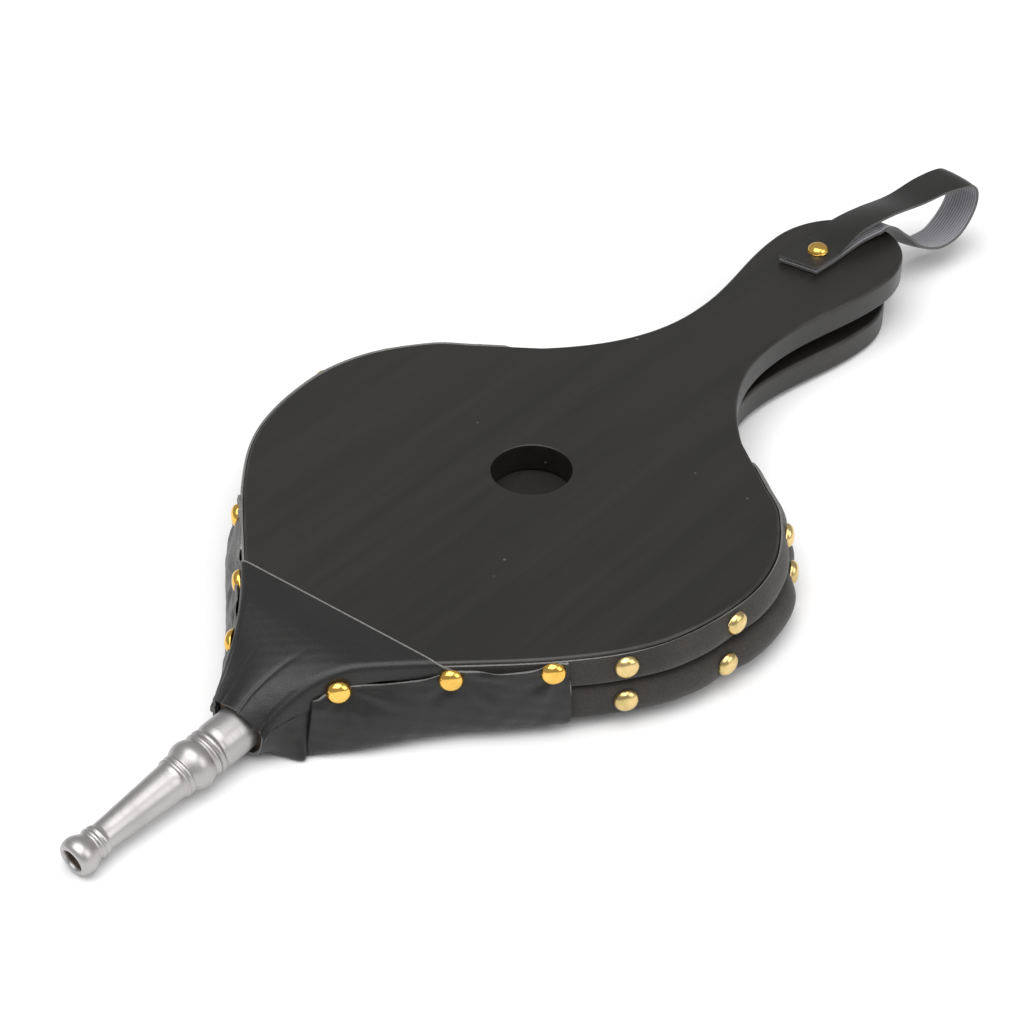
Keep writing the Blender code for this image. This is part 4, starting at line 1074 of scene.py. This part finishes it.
def tackTree(material):
    tree = bpy.data.node_groups.new("domeTacks_" + material.name, "GeometryNodeTree")
    tree.interface.new_socket(name="Geometry", in_out="INPUT", socket_type="NodeSocketGeometry")
    for label, value in tackValues.items():
        kind = "NodeSocketInt" if label == "Seed" else "NodeSocketFloat"
        tree.interface.new_socket(name=label, in_out="INPUT", socket_type=kind).default_value = value
    tree.interface.new_socket(name="Geometry", in_out="OUTPUT", socket_type="NodeSocketGeometry")
    w = Wires(tree)
    given = w.add("NodeGroupInput").outputs
    # a cone of many rings, bent into a dome with a rolled rim
    cone = w.add("GeometryNodeMeshCone", {"Vertices": 40, "Side Segments": 14, "Fill Segments": 2,
        "Radius Top": 0.0, "Radius Bottom": 1.0, "Depth": 1.0})
    place = w.add("ShaderNodeSeparateXYZ", {"Vector": w.add("GeometryNodeInputPosition").outputs[0]})
    level = place.outputs["Z"]
    angle = w.times(level, math.pi / 2)
    wide = w.times(w.sum("POWER", w.sum("COSINE", angle), given["Fullness"]), given["Head radius"])
    flatWay = w.add("ShaderNodeCombineXYZ",
        {"X": place.outputs["X"], "Y": place.outputs["Y"], "Z": 0.0}).outputs[0]
    unit = w.vector("NORMALIZE", flatWay)
    spread = w.vector("SCALE", unit, wide)
    high = w.times(w.sum("SINE", angle), given["Head height"])
    parts = w.add("ShaderNodeSeparateXYZ", {"Vector": spread}).outputs
    dome = w.add("ShaderNodeCombineXYZ", {"X": parts["X"], "Y": parts["Y"], "Z": high}).outputs[0]
    shaped = w.add("GeometryNodeSetPosition", {"Geometry": cone.outputs["Mesh"], "Position": dome})
    rounded = w.add("GeometryNodeSetShadeSmooth", {0: shaped.outputs[0]})
    facing = w.add("GeometryNodeInputNamedAttribute", {"Name": "facing"}, data_type="FLOAT_VECTOR").outputs[0]
    jitter = w.add("FunctionNodeRandomValue", {"Min": (-1.0, -1.0, -1.0), "Max": (1.0, 1.0, 1.0),
        "Seed": given["Seed"]}, data_type="FLOAT_VECTOR").outputs[0]
    lean = w.vector("SCALE", jitter, given["Tilt"])
    towards = w.vector("ADD", facing, lean)
    turn = w.add("FunctionNodeAlignRotationToVector", {"Vector": towards}, axis="Z").outputs[0]
    spots = w.add("GeometryNodeInstanceOnPoints",
        {"Points": given["Geometry"], "Instance": rounded.outputs[0], "Rotation": turn})
    real = w.add("GeometryNodeRealizeInstances", {0: spots.outputs[0]})
    painted = w.add("GeometryNodeSetMaterial", {"Geometry": real.outputs[0], "Material": material})
    w.join(painted.outputs[0], w.add("NodeGroupOutput").inputs[0])
    return tree


tackTrees = {"bright": tackTree(brightBrass), "dull": tackTree(dullBrass)}


def makeTacks(name, seats, kind):
    mesh = bpy.data.meshes.new(name)
    mesh.from_pydata([p for p, _ in seats], [], [])
    attribute = mesh.attributes.new("facing", "FLOAT_VECTOR", "POINT")
    attribute.data.foreach_set("vector", [c for _, n in seats for c in n])
    obj = linkNew(name, mesh)
    tree = tackTrees[kind]
    modifier = obj.modifiers.new("tacks", "NODES")
    modifier.node_group = tree
    for item in tree.interface.items_tree:
        if item.in_out == "INPUT" and item.name in tackValues:
            modifier[item.identifier] = tackValues[item.name]
    plainMesh(obj)
    return obj


tackSeats = {
    # (x, out from the rim, depth below the upper top or height over the lower underside)
    "upper_right": ((-0.047, 0.0014, 0.0047), (-0.013, 0.0021, 0.0045), (0.0275, 0.0021, 0.0047)),
    "upper_left": ((-0.002, 0.0016, 0.0052), (0.0200, 0.0018, 0.0052), (0.0410, 0.0018, 0.0052)),
    "lower_right": ((-0.047, 0.0018, 0.0052), (-0.017, 0.0034, 0.0056), (0.0255, 0.0042, 0.0060)),
    "lower_left": ((-0.002, 0.0034, 0.0055), (0.0200, 0.0038, 0.0058), (0.0410, 0.0036, 0.0060)),
    "wrap_right": ((-0.0630, 0.0021, 0.0032), (-0.0825, 0.0022, 0.0041), (-0.1050, 0.0025, 0.0047)),
    "wrap_left": ((-0.0695, 0.0014, 0.0041), (-0.0910, 0.0016, 0.0041), (-0.1085, 0.0018, 0.0047)),
}


def seatsOf(rows, side, height):
    found = []
    for x, out, away in rows:
        p, n = rimPoint(x, side, out)
        found.append((Vector((p.x, p.y, height(x, away))), n))
    return found


def underTop(x, away):
    return (topHeight(x) if x > hinge.x else noseTop(x, halfWidth(x))) - away


def overFoot(x, up):
    return up


upperDull = seatsOf(tackSeats["upper_right"], -1, underTop) + seatsOf(tackSeats["upper_left"], 1, underTop)
lowerDull = seatsOf(tackSeats["lower_right"], -1, overFoot) + seatsOf(tackSeats["lower_left"], 1, overFoot)
wrapSeats = {side: seatsOf(tackSeats[key], side, underTop) for side,
    key in ((-1, "wrap_right"), (1, "wrap_left"))}
strapSeat = upperPlace @ Vector((strap["tackX"] - hinge.x, strap["tackY"], 0.0031))
upperBright = wrapSeats[-1][:2] + wrapSeats[1][:2] + [(strapSeat, upperPlace.to_3x3() @ Vector((0, 0, 1)))]
lowerBright = wrapSeats[-1][2:] + wrapSeats[1][2:]


def tackNames(row, numbers):
    return [f"{row}_tack_{side}_{k}" for side in ("right", "left") for k in numbers]


tackPieces = (
    (makeTacks("bandTacksUpper", upperDull, "dull"), "upper", tackNames("upper", (1, 2, 3))),
    (makeTacks("bandTacksLower", lowerDull, "dull"), "lower", tackNames("lower", (1, 2, 3))),
    (makeTacks("wrapTacksUpper", upperBright, "bright"), "upper", tackNames("wrap", (1, 2)) + ["strap_tack"]),
    (makeTacks("wrapTacksLower", lowerBright, "bright"), "lower", tackNames("wrap", (3,))),
)
print("tacks made:", len(upperDull) + len(lowerDull) + len(upperBright) + len(lowerBright))


# screws and valve tacks keep their own shapes
for node in ("block_screw_1", "block_screw_2", "valve_tack_1", "valve_tack_2"):
    kept = frame["nodes"][node]
    kept.data.materials.clear()
    kept.data.materials.append(steel)


# bodies, replaced nodes and finishes
for piece, body, node, finish in (
    (upperBoard, "upper", "upper_board", "black_lacquer"),
    (lowerBoard, "lower", "lower_board", "black_lacquer"),
    (blockPiece, "lower", "nose_block", "bare_wood"),
    (nozzlePiece, "lower", "nozzle", "cast_aluminium"),
    (strapPiece, "strap", "strap", "strap_leather"),
    (flapPiece, "flap", "valve_flap", "flap_leather"),
):
    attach(piece, body)
    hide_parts(node)
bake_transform(foldSheet)
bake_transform(noseWrap)
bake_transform(nosePatch)
for piece, node in ((foldSheet, "bellows_leather"), (noseWrap, "nose_wrap"), (nosePatch, "nose_patch")):
    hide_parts(node)
for piece, body, nodes in tackPieces:
    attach(piece, body)
    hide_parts(*nodes)

for piece in (foldSheet, noseWrap, nosePatch, strapPiece, flapPiece):
    print("modelled area of", piece.name, round(sum(f.area for f in piece.data.polygons) / 2, 5))


# floor, light and camera
studio = {
    "lip": (-0.186, -0.0069),
    "handle": (0.176, 0.0),
    "world": 0.42,
    "keyPlace": (-0.45, -0.10, 1.5),
    "keySize": 1.6,
    "keyPower": 26,
    "sidePlace": (0.35, -1.3, 0.9),
    "sideSize": 1.1,
    "sidePower": 8,
    "cameraPlace": Vector((-0.44727, -0.37663, 0.45544)),
    "cameraTarget": Vector((0.00357, 0.01093, -0.00177)),
    "lens": 83.755,
}
slope = (studio["handle"][1] - studio["lip"][1]) / (studio["handle"][0] - studio["lip"][0])
floorMesh = bpy.data.meshes.new("floor")
reach = 4.0
corners = ((-reach, -reach), (reach, -reach), (reach, reach), (-reach, reach))
floorMesh.from_pydata([(x, y, studio["lip"][1] + (x - studio["lip"][0]) * slope - 0.0002) for x,
    y in corners], [], [(0, 1, 2, 3)])
floorMaterial, w, s, where = newFinish("paleFloor")
w.join(w.blend(w.noise(where, 1.2, 2.0), (0.90, 0.90, 0.90, 1), (0.93, 0.93, 0.93, 1)), s["Base Color"])
s["Roughness"].default_value = 0.9
s["Specular IOR Level"].default_value = 0.1
floor = linkNew("floor", floorMesh, [floorMaterial])

world = bpy.data.worlds.new("studio")
bpy.context.scene.world = world
world.use_nodes = True
w = Wires(world.node_tree)
seen = w.add("ShaderNodeLightPath").outputs["Is Camera Ray"]
sky = world.node_tree.nodes["Background"]
sky.inputs["Color"].default_value = (1, 1, 1, 1)
w.join(w.span(seen, 0.0, 1.0, studio["world"], 1.0),
    sky.inputs["Strength"])  # lights softly, shows white behind


def softbox(name, place, size, power):
    data = bpy.data.lights.new(name, "AREA")
    data.shape = "SQUARE"
    data.size = size
    data.energy = power
    lamp = bpy.data.objects.new(name, data)
    bpy.context.scene.collection.objects.link(lamp)
    lamp.location = place
    lamp.rotation_euler = (-Vector(place)).to_track_quat("-Z", "Y").to_euler()
    return lamp


softbox("keyLight", studio["keyPlace"], studio["keySize"], studio["keyPower"])
softbox("sideLight", studio["sidePlace"], studio["sideSize"], studio["sidePower"])

camera = bpy.data.objects.new("camera", bpy.data.cameras.new("camera"))
bpy.context.scene.collection.objects.link(camera)
camera.data.lens = studio["lens"]
camera.data.sensor_width = 36
camera.data.clip_start = 0.01
camera.location = studio["cameraPlace"]
camera.rotation_euler = (studio["cameraTarget"] - studio["cameraPlace"]).to_track_quat("-Z", "Y").to_euler()
bpy.context.scene.camera = camera
bpy.context.scene.view_settings.view_transform = "Standard"
print("studio ready")
